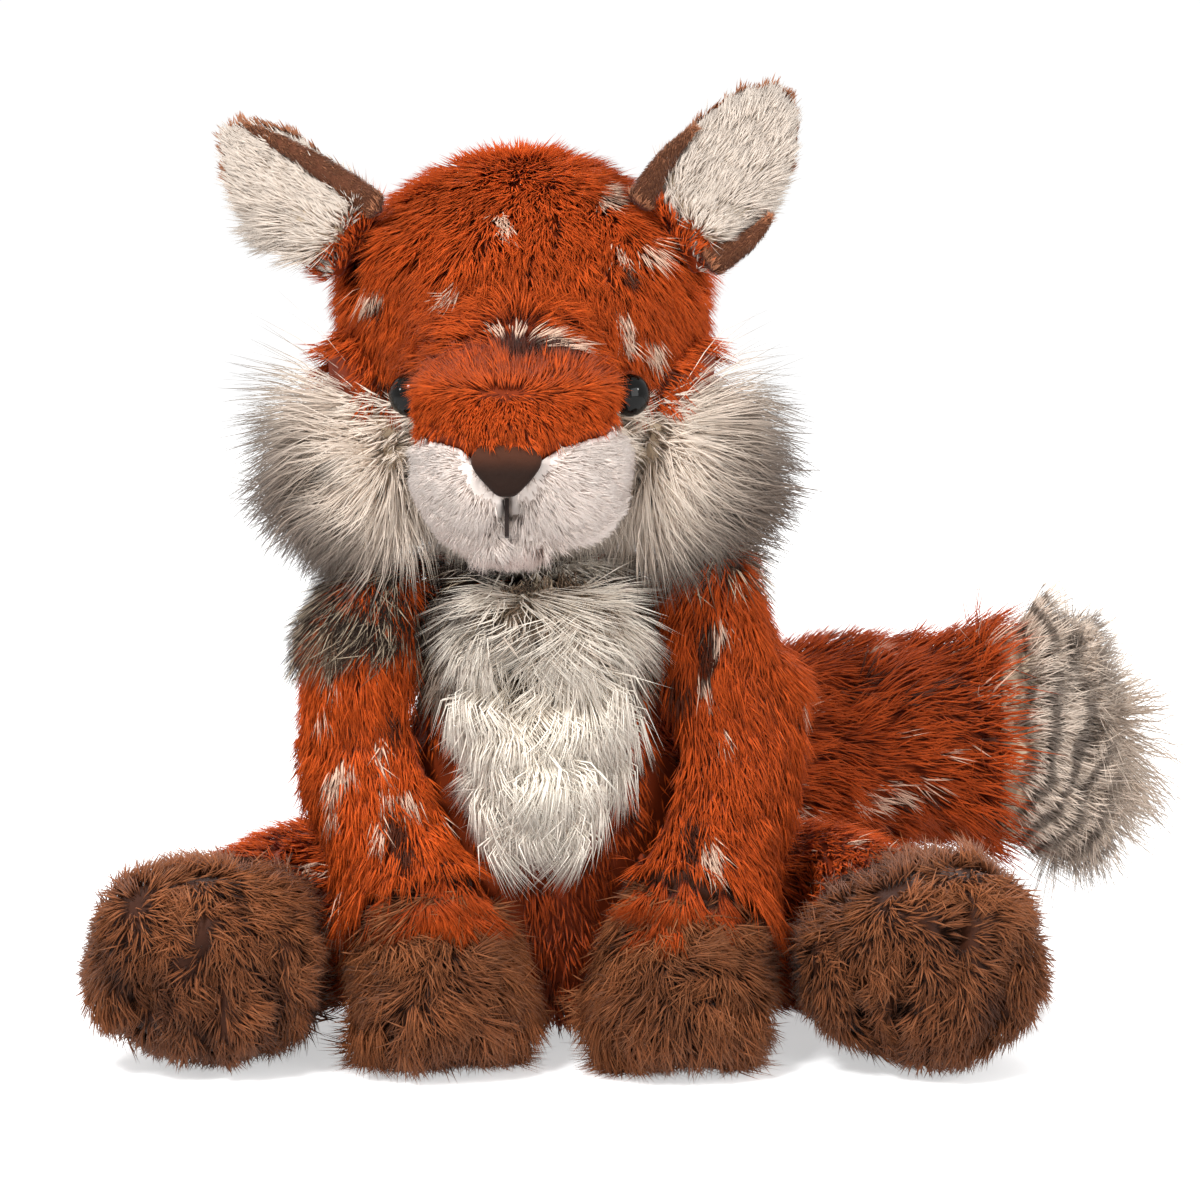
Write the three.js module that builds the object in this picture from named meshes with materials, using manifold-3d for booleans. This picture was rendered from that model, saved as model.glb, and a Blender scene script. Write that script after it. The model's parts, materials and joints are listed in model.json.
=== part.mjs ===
// A seated plush fox: a stuffed torso with sewn-on arms, legs, tail, neck and head.
// Millimetres, +Z up. The fox faces -Y and its own left is +X. The origin is the middle of its flat seat.
import * as THREE from 'three';
import { mergeVertices } from 'three/addons/utils/BufferGeometryUtils.js';
import Module from 'manifold-3d';

const wasm = await Module();
wasm.setup();

// Clearances and cuts
const seamGap = 0.3;
const turnGap = 0.8;
const floorCut = 0.5;
const overrun = 400;

// Torso, which reaches a little over the seam under the neck
const neckSeamHeight = 146;
const torsoOverSeam = 14;
const torsoHalfWidth = 58;
const torsoHalfDepth = 54;
const torsoLean = -9.5;
const torsoWidthShares = [0.88, 1, 0.9, 0.74, 0.46];
const torsoDepthShares = [0.86, 1, 0.91, 0.78, 0.52];
const torsoLeanShares = [0, 0, 0.2, 0.65, 1];

// Neck
const neckBack = -2;
const neckRadius = 20;
const neckBallRadius = 24;
const neckBallRise = 20;

// Head
const headLift = 10;
const headHeight = 116;
const headHalfWidth = 59.5;
const headHalfDepth = 56;
const headForward = 3;
const headWidthShares = [0.74, 0.96, 1, 0.96, 0.74];
const headDepthShares = [0.78, 0.96, 1, 0.95, 0.74];

// Snout, measured from the front and the underside of the head
const snoutRoot = 18;
const snoutShift = -3;
const bridgeReach = 35;
const bridgeRootRise = 47;
const bridgeTipRise = 33;
const bridgeHalfWidth = 33;
const bridgeHalfHeight = 15;
const bridgeWidthShares = [0.86, 1, 0.86, 0.46];
const bridgeHeightShares = [0.95, 1, 0.92, 0.66];
const padReach = 33;
const padRise = 22;
const padSpread = 13.5;
const padTipSpread = 10;
const padHalfWidth = 18.5;
const padHalfHeight = 22;
const leftPadExtra = 2.2;
const padWidthShares = [0.92, 1, 0.98, 0.8];
const padHeightShares = [0.95, 1, 0.96, 0.78];
const chinReach = 22;
const chinRise = 3;
const chinHalfWidth = 14;
const chinHalfHeight = 8.5;
const chinWidthShares = [0.9, 1, 0.8];
const noseWidth = 21;
const noseHeight = 16;
const noseDepth = 11;
const noseRound = 2.5;
const noseRise = 24.5;
const noseStandOut = 4.5;
const stitchLength = 11;
const stitchWidth = 1.2;
const stitchDepth = 5;
const stitchStandOut = 1;
const stitchLean = 12;
const stitchShare = 0.93;

// Eyes: a dome with a shank, and a washer on the shank inside the head
const eyeShare = 0.366;
const eyeTurn = 56.5;
const eyeRadius = 6.3;
const eyeDome = 4.6;
const eyeSink = 2;
const eyeSides = 16;
const shankRadius = 1.8;
const shankLength = 9;
const washerRadius = 6.5;
const washerThickness = 1.6;
const washerDepth = 5;

// Cheek ruffs
const ruffRootSpread = 34;
const ruffTipSpread = 87;
const ruffRootForward = 22;
const ruffTipForward = 12;
const ruffRise = 27;
const ruffDroop = 7;
const ruffHalfDepth = 20;
const ruffHalfHeight = 31;
const ruffDepthShares = [0.85, 1, 0.9, 0.6];
const ruffHeightShares = [0.8, 1, 0.98, 0.82];

// Ears
const earShare = 0.745;
const earTurn = 20;
const earForward = 18;
const earLength = 54;
const earRiseLeft = 54;
const earRiseRight = 42;
const earHalfWidth = 19;
const earBackHalfDepth = 3;
const earWidthShares = [0.84, 1, 0.92, 0.6];
const earThicknessShares = [1, 1, 0.9, 0.7];
const liningLength = 50;
const liningHalfWidth = 16.5;
const liningHalfDepth = 2.6;
const earRootRadius = 5;
const earRootHalfLength = 14;
const earRootTilt = 62;
const earFold = 20;
const earFoldSpare = 2;

// Throat ruff and chest bib
const throatDrop = 17;
const throatHalfSpan = 26.2;
const throatStandOut = 3;
const throatHalfDepth = 13;
const throatHalfHeight = 12;
const throatShares = [0.75, 1, 1, 0.75];
const bibDrop = 14;
const bibBottom = 58;
const bibHalfWidth = 27.4;
const bibHalfDepth = 12;
const bibWidthShares = [0.72, 1, 0.9, 0.42];
const bibDepthShares = [0.8, 1, 0.95, 0.65];

// Arms and forepaws
const shoulderFlat = 7;
const shoulderDrop = 33;
const shoulderBack = -8;
const shoulderRadius = 28;
const armTopRise = 26;
const armSpread = 50;
const armHalfWidth = 22;
const armHalfDepth = 23.5;
const armWidthShares = [0.95, 1, 1.05, 1.16];
const armDepthShares = [0.95, 1, 0.98, 0.96];
const armBowOut = 9;
const armBowBack = 11;
const armBowShares = [0, 0.8, 1, 0.65, -0.05, 0];
const pawSpreadLeft = 34.5;
const pawSpreadRight = 30.5;
const pawForward = 76;
const pawHalfWidth = 32.5;
const pawHalfDepth = 31;
const pawShares = [0.93, 1];
const wristShare = 0.66;
const thighFlatTurn = 50;
const thighFlatRise = 30;
const thighFlatReach = 25.4;

// Legs and feet
const hipFlat = 6;
const hipBack = 4;
const hipHeight = 31;
const hipRadius = 33.5;
const hipReach = 77;
const legHalfWidth = 29;
const legHalfHeight = 32;
const legRootSink = 6;
const kneeSpread = 73;
const kneeBack = 1;
const shinSpreadLeft = 94;
const shinSpreadRight = 86;
const shinForward = 24;
const ankleSpreadLeft = 107;
const ankleSpreadRight = 97;
const ankleForward = 56;
const footSpreadLeft = 109;
const footSpreadRight = 98;
const footForward = 98;
const footHalfWidthLeft = 37;
const footHalfWidthRight = 34;
const footHalfHeight = 34;
const footInsideLeft = 70;
const footInsideRight = 70;
const legWidthShares = [0.96, 1.03, 0.98];
const legHeightShares = [0.97, 1.03, 1];
const footShares = [0.94, 1];
const ankleShare = 0.63;

// Tail
const tailRootSide = 12;
const tailRootSink = 6;
const tailRootHeight = 60;
const tailRootRadius = 18;
const tailReach = 196;
const tailTipHeight = 80;
const tailTipBack = 56;
const tailBowBack = 20;
const tailBowUp = 4;
const tailBowShares = [0, 0.7, 1.05, 0.9, 0.45, 0];
const tailHalfWidth = 32;
const tailHalfHeight = 36;
const tailShares = [0.5, 0.84, 0.98, 1];
const tailTipHalfWidth = 31;
const tailTipHalfHeight = 41;
const tailTipShares = [1, 0.72];
const tailSeamReach = 141;

const towardsBack = new THREE.Vector3(0, 1, 0);
const upward = new THREE.Vector3(0, 0, 1);
const rightAngle = Math.PI / 2;
const radians = THREE.MathUtils.degToRad;
const at = (x, y, z) => new THREE.Vector3(x, y, z);
const scaled = (size, shares) => shares.map((share) => share * size);

// A closed three.js geometry as a solid that can be cut and joined.
function solidOf(geometry) {
  const bare = geometry.clone();
  bare.deleteAttribute('normal');
  bare.deleteAttribute('uv');
  const merged = mergeVertices(bare);
  const vertProperties = new Float32Array(merged.attributes.position.array);
  const triVerts = new Uint32Array(merged.index.array);
  return new wasm.Manifold(new wasm.Mesh({ numProp: 3, vertProperties, triVerts }));
}

// A stuffed shape: an oval section swells and tapers along a curved spine and rounds off at both ends.
function stuffed({ knots, halfWidths, halfDepths, deepAxis, startShare, endShare, bluntness, sides, rings }) {
  const spine = new THREE.CatmullRomCurve3(knots);
  const girth = new THREE.CatmullRomCurve3(halfWidths.map((width, k) => at(width, halfDepths[k], 0)));
  const roundOff = (share) => Math.pow(1 - Math.pow(1 - Math.min(share, 1), bluntness), 1 / bluntness);

  function section(t) {
    const along = spine.getTangent(t);
    const deep = deepAxis.clone().addScaledVector(along, -deepAxis.dot(along)).normalize();
    const across = deep.clone().cross(along);
    const fullness = roundOff(t / startShare) * roundOff((1 - t) / endShare);
    const size = girth.getPoint(t).multiplyScalar(fullness);
    return { centre: spine.getPoint(t), along, deep, across, halfWidth: size.x, halfDepth: size.y };
  }

  function point(t, angle, grow = 0) {
    const { centre, along, deep, across, halfWidth, halfDepth } = section(t);
    return centre
      .addScaledVector(along, grow * (2 * t - 1))
      .addScaledVector(across, (halfWidth + grow) * Math.cos(angle))
      .addScaledVector(deep, (halfDepth + grow) * Math.sin(angle));
  }

  function normal(t, angle) {
    const { deep, across, halfWidth, halfDepth } = section(t);
    return across.multiplyScalar(Math.cos(angle) / halfWidth)
      .addScaledVector(deep, Math.sin(angle) / halfDepth)
      .normalize();
  }

  function solid(grow = 0) {
    const positions = [];
    const faces = [];
    const tip = (t) => {
      const { centre, along } = section(t);
      positions.push(...centre.addScaledVector(along, grow * (2 * t - 1)).toArray());
    };
    tip(0);
    for (let ring = 1; ring < rings; ring += 1) {
      const t = (1 - Math.cos((Math.PI * ring) / rings)) / 2;
      for (let side = 0; side < sides; side += 1) {
        positions.push(...point(t, (2 * Math.PI * side) / sides, grow).toArray());
      }
    }
    tip(1);
    const last = positions.length / 3 - 1;
    const index = (ring, side) => 1 + (ring - 1) * sides + (side % sides);
    for (let side = 0; side < sides; side += 1) {
      faces.push(0, index(1, side + 1), index(1, side));
      faces.push(last, index(rings - 1, side), index(rings - 1, side + 1));
      for (let ring = 1; ring < rings - 1; ring += 1) {
        faces.push(index(ring, side), index(ring, side + 1), index(ring + 1, side + 1));
        faces.push(index(ring, side), index(ring + 1, side + 1), index(ring + 1, side));
      }
    }
    const geometry = new THREE.BufferGeometry();
    geometry.setAttribute('position', new THREE.Float32BufferAttribute(positions, 3));
    geometry.setIndex(faces);
    return solidOf(geometry);
  }

  return { section, point, normal, solid };
}

// Everything on the side of a plane that its normal points to.
function beyond(point, normal) {
  const block = new THREE.BoxGeometry(overrun, overrun, overrun).translate(0, 0, overrun / 2);
  block.applyQuaternion(new THREE.Quaternion().setFromUnitVectors(upward, normal.clone().normalize()));
  return solidOf(block.translate(point.x, point.y, point.z));
}

// A round rod between two points.
function rod(start, end, radius, sides) {
  const span = end.clone().sub(start);
  const cylinder = new THREE.CylinderGeometry(radius, radius, span.length(), sides);
  const middle = start.clone().add(end).multiplyScalar(1 / 2);
  cylinder.applyQuaternion(new THREE.Quaternion().setFromUnitVectors(towardsBack, span.normalize()));
  return solidOf(cylinder.translate(middle.x, middle.y, middle.z));
}

function ball(centre, radius, sides) {
  return solidOf(new THREE.SphereGeometry(radius, sides, sides / 2).translate(centre.x, centre.y, centre.z));
}

const belowFloor = beyond(at(0, 0, 0), at(0, 0, -1));
const torsoTop = neckSeamHeight + torsoOverSeam;
const shoulderHeight = neckSeamHeight - shoulderDrop;

// Torso, without the pieces sewn to it
const torsoKnots = torsoLeanShares.map((share, k) => at(
  share * torsoLean,
  0,
  -floorCut + ((torsoTop + floorCut) * k) / (torsoLeanShares.length - 1),
));
const torsoForm = stuffed({
  knots: torsoKnots,
  halfWidths: scaled(torsoHalfWidth, torsoWidthShares),
  halfDepths: scaled(torsoHalfDepth, torsoDepthShares),
  deepAxis: towardsBack,
  startShare: 0.24,
  endShare: 0.14,
  bluntness: 3.4,
  sides: 24,
  rings: 16,
});
const torsoSection = (height) => torsoForm.section((height + floorCut) / (torsoTop + floorCut));
const hipHalfWidth = torsoHalfWidth - hipFlat;
const shoulderSection = torsoSection(shoulderHeight);
const shoulderX = (side) => shoulderSection.centre.x + side * (shoulderSection.halfWidth - shoulderFlat);
const tailRoot = at(tailRootSide, torsoSection(tailRootHeight).halfDepth - tailRootSink, tailRootHeight);

// The round pocket that an arm's top turns in, and the round of the torso beside it.
function shoulderPocket(side, grow) {
  const inner = at(shoulderX(side) + side * grow, shoulderBack, shoulderHeight);
  const outer = at(side * overrun, shoulderBack, shoulderHeight);
  return rod(inner, outer, shoulderRadius - grow, 28);
}
function shoulderBoss(side) {
  const inner = at(0, shoulderBack, shoulderHeight);
  const outer = at(shoulderX(side) + side * seamGap, shoulderBack, shoulderHeight);
  return rod(inner, outer, shoulderRadius + turnGap, 28);
}

// The round that a thigh turns in, as far out as the arm reaches.
function hipRound(side, grow) {
  const inner = at(0, hipBack, hipHeight);
  const outer = at(side * (hipReach + grow), hipBack, hipHeight);
  return rod(inner, outer, hipRadius + grow, 28);
}

// The upright round groove that the tail's root turns in.
function tailGroove(grow) {
  const half = tailRootRadius + seamGap - grow;
  const foot = at(tailRoot.x, tailRoot.y, tailRootHeight - half);
  const head = at(tailRoot.x, tailRoot.y, tailRootHeight + half);
  return rod(foot, head, tailRootRadius + turnGap - grow, 24);
}

function torsoSolid(grow) {
  return torsoForm.solid(grow)
    .subtract(beyond(at(hipHalfWidth + grow, 0, 0), at(1, 0, 0)))
    .subtract(beyond(at(-hipHalfWidth - grow, 0, 0), at(-1, 0, 0)))
    .subtract(shoulderPocket(1, grow))
    .subtract(shoulderPocket(-1, grow))
    .subtract(tailGroove(grow))
    .subtract(beyond(at(0, 0, neckSeamHeight + grow), at(0, 0, 1)));
}
const aroundTorso = torsoSolid(seamGap);
const torso = torsoSolid(0).subtract(belowFloor);

// Neck: a stub with a ball end that the head nods on
const headX = torsoLean;
const neckFoot = at(headX, neckBack, neckSeamHeight + seamGap);
const neckBall = at(headX, neckBack, neckSeamHeight + neckBallRise);
const neck = rod(neckFoot, neckBall, neckRadius, 24)
  .add(ball(neckBall, neckBallRadius, 24))
  .subtract(beyond(neckFoot, at(0, 0, -1)));

// Head
const headBottom = neckSeamHeight + headLift;
const headY = neckBack - headForward;
const headFront = headY - headHalfDepth;
const headForm = stuffed({
  knots: headWidthShares.map((_, k) => at(
    headX,
    headY,
    headBottom + (headHeight * k) / (headWidthShares.length - 1),
  )),
  halfWidths: scaled(headHalfWidth, headWidthShares),
  halfDepths: scaled(headHalfDepth, headDepthShares),
  deepAxis: towardsBack,
  startShare: 0.34,
  endShare: 0.38,
  bluntness: 2.2,
  sides: 26,
  rings: 16,
});
const aroundHead = headForm.solid(seamGap);

// Eyes, each in its own frame: z points out of the head and 0 is the head's surface
function eyeFrame(side) {
  const angle = -rightAngle + side * (rightAngle - radians(eyeTurn));
  const spot = headForm.point(eyeShare, angle);
  const turn = new THREE.Quaternion().setFromUnitVectors(upward, headForm.normal(eyeShare, angle));
  return (points) => {
    const profile = points.map(([radius, height]) => new THREE.Vector2(radius, height));
    const shape = new THREE.LatheGeometry(profile, eyeSides).rotateX(rightAngle);
    return solidOf(shape.applyQuaternion(turn).translate(spot.x, spot.y, spot.z));
  };
}
const eyeProfile = [
  [0, -shankLength],
  [shankRadius, -shankLength],
  [shankRadius, -eyeSink],
  [eyeRadius, -eyeSink],
  ...[0, 1, 2, 3, 4].map((step) => [
    eyeRadius * Math.cos((step * rightAngle) / 5),
    eyeDome * Math.sin((step * rightAngle) / 5),
  ]),
  [0, eyeDome],
];
const washerProfile = [
  [shankRadius + seamGap, -washerDepth - washerThickness],
  [washerRadius, -washerDepth - washerThickness],
  [washerRadius, -washerDepth],
  [shankRadius + seamGap, -washerDepth],
  [shankRadius + seamGap, -washerDepth - washerThickness],
];
const eyeSeatProfile = [
  [0, -shankLength - seamGap],
  [shankRadius + seamGap, -shankLength - seamGap],
  [shankRadius + seamGap, -washerDepth - washerThickness - seamGap],
  [washerRadius + seamGap, -washerDepth - washerThickness - seamGap],
  [washerRadius + seamGap, -washerDepth + seamGap],
  [shankRadius + seamGap, -washerDepth + seamGap],
  [shankRadius + seamGap, -eyeSink - seamGap],
  [eyeRadius + seamGap, -eyeSink - seamGap],
  [eyeRadius + seamGap, eyeRadius],
  [0, eyeRadius],
];

// Ears: two leaves back to back on a round root that turns in a groove of the head
function earPieces(side, rise) {
  const angle = side > 0 ? -radians(earTurn) : Math.PI + radians(earTurn);
  const level = Math.cos(radians(rise));
  const forward = radians(earForward);
  const root = headForm.point(earShare, angle);
  const length = at(side * level * Math.cos(forward), -level * Math.sin(forward), Math.sin(radians(rise)));
  const foldAxis = at(-side * Math.cos(radians(earRootTilt)), 0, Math.sin(radians(earRootTilt)));
  const leaf = (reach, halfWidth, halfDepth, ahead) => stuffed({
    knots: earWidthShares.map((_, k) => root.clone()
      .addScaledVector(length, (reach * k) / (earWidthShares.length - 1))
      .addScaledVector(towardsBack, -ahead)),
    halfWidths: scaled(halfWidth, earWidthShares),
    halfDepths: scaled(halfDepth, earThicknessShares),
    deepAxis: towardsBack,
    startShare: 0.1,
    endShare: 0.4,
    bluntness: 2.2,
    sides: 14,
    rings: 9,
  });
  const rootRod = (grow) => rod(
    root.clone().addScaledVector(foldAxis, -earRootHalfLength - grow),
    root.clone().addScaledVector(foldAxis, earRootHalfLength + grow),
    earRootRadius + grow,
    20,
  );
  const outward = length.clone().addScaledVector(foldAxis, -length.dot(foldAxis)).normalize();
  const keepOut = [-1, 1].map((way) => {
    const tilt = way * radians(earFold + earFoldSpare);
    return beyond(root, outward.clone().applyAxisAngle(foldAxis, tilt).negate());
  });
  const backForm = leaf(earLength, earHalfWidth, earBackHalfDepth, 0);
  const liningForm = leaf(
    liningLength,
    liningHalfWidth,
    liningHalfDepth,
    earBackHalfDepth + liningHalfDepth - 2 * seamGap,
  );
  const back = backForm.solid()
    .subtract(keepOut[0])
    .subtract(keepOut[1])
    .subtract(aroundHead)
    .add(rootRod(0));
  const lining = liningForm.solid()
    .subtract(keepOut[0])
    .subtract(keepOut[1])
    .subtract(aroundHead)
    .subtract(rootRod(seamGap))
    .subtract(backForm.solid(seamGap));
  return { back, lining, groove: rootRod(turnGap) };
}
const earLeft = earPieces(1, earRiseLeft);
const earRight = earPieces(-1, earRiseRight);

const head = headForm.solid()
  .subtract(ball(neckBall, neckBallRadius + turnGap, 24))
  .subtract(eyeFrame(1)(eyeSeatProfile))
  .subtract(eyeFrame(-1)(eyeSeatProfile))
  .subtract(earLeft.groove)
  .subtract(earRight.groove);

// Snout
const snoutForm = ({
  rootX, tipX, rootRise, tipRise, reach, width, widthShares, height, heightShares,
}) => stuffed({
  knots: widthShares.map((_, k) => at(
    headX + rootX + ((tipX - rootX) * k) / (widthShares.length - 1),
    headFront + snoutRoot - ((snoutRoot + reach) * k) / (widthShares.length - 1),
    headBottom + rootRise + ((tipRise - rootRise) * k) / (widthShares.length - 1),
  )),
  halfWidths: scaled(width, widthShares),
  halfDepths: scaled(height, heightShares),
  deepAxis: upward,
  startShare: 0.3,
  endShare: 0.4,
  bluntness: 2.3,
  sides: 18,
  rings: 11,
});
const bridgeForm = snoutForm({
  rootX: 0,
  tipX: snoutShift,
  rootRise: bridgeRootRise,
  tipRise: bridgeTipRise,
  reach: bridgeReach,
  width: bridgeHalfWidth,
  widthShares: bridgeWidthShares,
  height: bridgeHalfHeight,
  heightShares: bridgeHeightShares,
});
const padExtra = (side) => (side > 0 ? leftPadExtra : 0);
const padForm = (side) => snoutForm({
  rootX: side * padSpread + padExtra(side),
  tipX: snoutShift + side * padTipSpread + padExtra(side),
  rootRise: padRise,
  tipRise: padRise,
  reach: padReach,
  width: padHalfWidth + padExtra(side),
  widthShares: padWidthShares,
  height: padHalfHeight,
  heightShares: padHeightShares,
});
const chinForm = snoutForm({
  rootX: 0,
  tipX: snoutShift,
  rootRise: chinRise,
  tipRise: chinRise,
  reach: chinReach,
  width: chinHalfWidth,
  widthShares: chinWidthShares,
  height: chinHalfHeight,
  heightShares: chinWidthShares,
});
const eyeRoom = [1, -1].map((side) => eyeFrame(side)([
  [0, -eyeSink],
  [eyeRadius + seamGap, -eyeSink],
  [eyeRadius + seamGap, eyeDome],
  [0, eyeDome],
]));
const snoutBridge = bridgeForm.solid()
  .subtract(aroundHead)
  .subtract(eyeRoom[0])
  .subtract(eyeRoom[1]);

// Nose and mouth: the nose sits on the ends of the pads, the stitch in the seam below it
const noseX = headX + snoutShift;
const noseZ = headBottom + noseRise;
const noseY = headFront - padReach - noseStandOut;
function noseSolid(grow) {
  const half = noseWidth / 2 - noseRound + grow;
  const top = noseHeight / 2 - noseRound + grow;
  const corner = noseRound;
  const outline = new THREE.Shape();
  outline.moveTo(-half + corner, top);
  outline.lineTo(half - corner, top);
  outline.quadraticCurveTo(half, top, half - corner / 2, top - corner);
  outline.lineTo(corner / 2, -top + corner / 2);
  outline.quadraticCurveTo(0, -top, -corner / 2, -top + corner / 2);
  outline.lineTo(-half + corner / 2, top - corner);
  outline.quadraticCurveTo(-half, top, -half + corner, top);
  const geometry = new THREE.ExtrudeGeometry(outline, {
    depth: noseDepth - 2 * noseRound,
    bevelThickness: noseRound,
    bevelSize: noseRound,
    bevelSegments: 3,
    curveSegments: 4,
  });
  geometry.rotateX(rightAngle).translate(noseX, noseY + noseDepth - noseRound, noseZ);
  return solidOf(geometry);
}
const stitchTop = noseZ - noseHeight / 2;
function stitchSolid(grow) {
  const geometry = new THREE.BoxGeometry(
    stitchWidth + 2 * grow,
    stitchDepth + 2 * grow,
    stitchLength + 2 * grow,
  );
  const front = padForm(1).point(stitchShare, Math.PI).y - stitchStandOut;
  geometry.rotateX(-radians(stitchLean));
  geometry.translate(noseX, front + stitchDepth / 2, stitchTop - seamGap - stitchLength / 2);
  return solidOf(geometry);
}
const aroundNose = noseSolid(seamGap);
const midSeam = (side) => beyond(at(noseX + (side * seamGap) / 2, 0, 0), at(-side, 0, 0));
const pad = (side) => padForm(side).solid()
  .subtract(midSeam(side))
  .subtract(aroundHead)
  .subtract(bridgeForm.solid(seamGap))
  .subtract(aroundNose)
  .subtract(stitchSolid(seamGap));
const bothPads = padForm(1).solid(seamGap).add(padForm(-1).solid(seamGap));
const chin = chinForm.solid().subtract(aroundHead).subtract(bothPads);
const nose = noseSolid(0).subtract(bridgeForm.solid(seamGap));
const mouthStitch = stitchSolid(0);

// Cheek ruffs
const cheekRuff = (side) => stuffed({
  knots: ruffHeightShares.map((_, k) => {
    const share = k / (ruffHeightShares.length - 1);
    return at(
      headX + side * (ruffRootSpread + (ruffTipSpread - ruffRootSpread) * share),
      headY - ruffRootForward + (ruffRootForward - ruffTipForward) * share,
      headBottom + ruffRise - ruffDroop * share,
    );
  }),
  halfWidths: scaled(ruffHalfDepth, ruffDepthShares),
  halfDepths: scaled(ruffHalfHeight, ruffHeightShares),
  deepAxis: upward,
  startShare: 0.2,
  endShare: 0.3,
  bluntness: 2.2,
  sides: 16,
  rings: 10,
}).solid()
  .subtract(aroundHead)
  .subtract(padForm(side).solid(seamGap))
  .subtract(bridgeForm.solid(seamGap))
  .subtract(eyeRoom[side > 0 ? 0 : 1]);

// The two sides of the pose differ a little
const ownOf = (side, left, right) => (side > 0 ? left : right);

// Arm and forepaw share one spine and part at the wrist
const armForm = (side) => stuffed({
  knots: armBowShares.map((bow, k) => {
    const share = k / (armBowShares.length - 1);
    return at(
      side * (armSpread + (ownOf(side, pawSpreadLeft, pawSpreadRight) - armSpread) * share + armBowOut * bow),
      shoulderBack + (-pawForward - shoulderBack) * share + armBowBack * bow,
      (shoulderHeight + armTopRise) * (1 - share) - floorCut * share,
    );
  }),
  halfWidths: [...scaled(armHalfWidth, armWidthShares), ...scaled(pawHalfWidth, pawShares)],
  halfDepths: [...scaled(armHalfDepth, armDepthShares), ...scaled(pawHalfDepth, pawShares)],
  deepAxis: towardsBack,
  startShare: 0.2,
  endShare: 0.16,
  bluntness: 2.6,
  sides: 18,
  rings: 18,
});
// The slanted flat behind which a thigh turns, in front of which the upper arm stays.
function thighSide(side) {
  const turn = radians(thighFlatTurn);
  const rise = radians(thighFlatRise);
  const normal = at(-side * Math.cos(rise) * Math.sin(turn), -Math.cos(rise) * Math.cos(turn), Math.sin(rise));
  const hip = at(side * hipHalfWidth, hipBack, hipHeight);
  return beyond(hip.addScaledVector(normal, thighFlatReach), normal.clone().negate());
}
function armPieces(side) {
  const form = armForm(side);
  const { centre, along } = form.section(wristShare);
  const whole = form.solid()
    .subtract(torsoSolid(turnGap))
    .subtract(shoulderBoss(side))
    .subtract(hipRound(side, turnGap))
    .subtract(belowFloor);
  const half = along.clone().multiplyScalar(seamGap / 2);
  return {
    arm: whole.subtract(thighSide(side)).subtract(beyond(centre.clone().sub(half), along)),
    paw: whole.subtract(beyond(centre.clone().add(half), along.clone().negate())),
  };
}

// Leg and foot share one spine and part at the ankle
function legPieces(side) {
  const form = stuffed({
    knots: [
      at(side * (hipHalfWidth - legRootSink), hipBack, legHalfHeight * legHeightShares[0] - floorCut),
      at(side * kneeSpread, kneeBack, legHalfHeight * legHeightShares[1] - floorCut),
      at(side * ownOf(side, shinSpreadLeft, shinSpreadRight), -shinForward, legHalfHeight * legHeightShares[2] - floorCut),
      at(side * ownOf(side, ankleSpreadLeft, ankleSpreadRight), -ankleForward, footHalfHeight * footShares[0] - floorCut),
      at(side * ownOf(side, footSpreadLeft, footSpreadRight), -footForward, footHalfHeight * footShares[1] - floorCut),
    ],
    halfWidths: [
      ...scaled(legHalfWidth, legWidthShares),
      ...scaled(ownOf(side, footHalfWidthLeft, footHalfWidthRight), footShares),
    ],
    halfDepths: [...scaled(legHalfHeight, legHeightShares), ...scaled(footHalfHeight, footShares)],
    deepAxis: upward,
    startShare: 0.06,
    endShare: 0.2,
    bluntness: 2.6,
    sides: 18,
    rings: 16,
  });
  const { centre, along } = form.section(ankleShare);
  const seam = at(side * (hipHalfWidth + seamGap), 0, 0);
  const free = beyond(at(side * hipReach, 0, 0), at(side, 0, 0)).add(hipRound(side, 0));
  const whole = form.solid().subtract(beyond(seam, at(-side, 0, 0))).subtract(belowFloor);
  const footInside = ownOf(side, footInsideLeft, footInsideRight);
  const footOnly = beyond(at(side * footInside, 0, 0), at(side, 0, 0));
  const half = along.clone().multiplyScalar(seamGap / 2);
  return {
    leg: whole.intersect(free).subtract(beyond(centre.clone().sub(half), along)),
    foot: whole.intersect(footOnly).subtract(beyond(centre.clone().add(half), along.clone().negate())),
  };
}

// Tail and its tip share one spine and part at an upright seam
const tailForm = stuffed({
  knots: tailBowShares.map((bow, k) => {
    const share = k / (tailBowShares.length - 1);
    return at(
      tailRoot.x + (tailReach - tailRoot.x) * share,
      tailRoot.y + (tailTipBack - tailRoot.y) * share + tailBowBack * bow,
      tailRootHeight + (tailTipHeight - tailRootHeight) * share + tailBowUp * bow,
    );
  }),
  halfWidths: [...scaled(tailHalfWidth, tailShares), ...scaled(tailTipHalfWidth, tailTipShares)],
  halfDepths: [...scaled(tailHalfHeight, tailShares), ...scaled(tailTipHalfHeight, tailTipShares)],
  deepAxis: upward,
  startShare: 0.05,
  endShare: 0.24,
  bluntness: 2.4,
  sides: 18,
  rings: 16,
});
const wholeTail = tailForm.solid().subtract(aroundTorso);
const tail = wholeTail.subtract(beyond(at(tailSeamReach - seamGap / 2, 0, 0), at(1, 0, 0)));
const tailTip = wholeTail.subtract(beyond(at(tailSeamReach + seamGap / 2, 0, 0), at(-1, 0, 0)));

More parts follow.
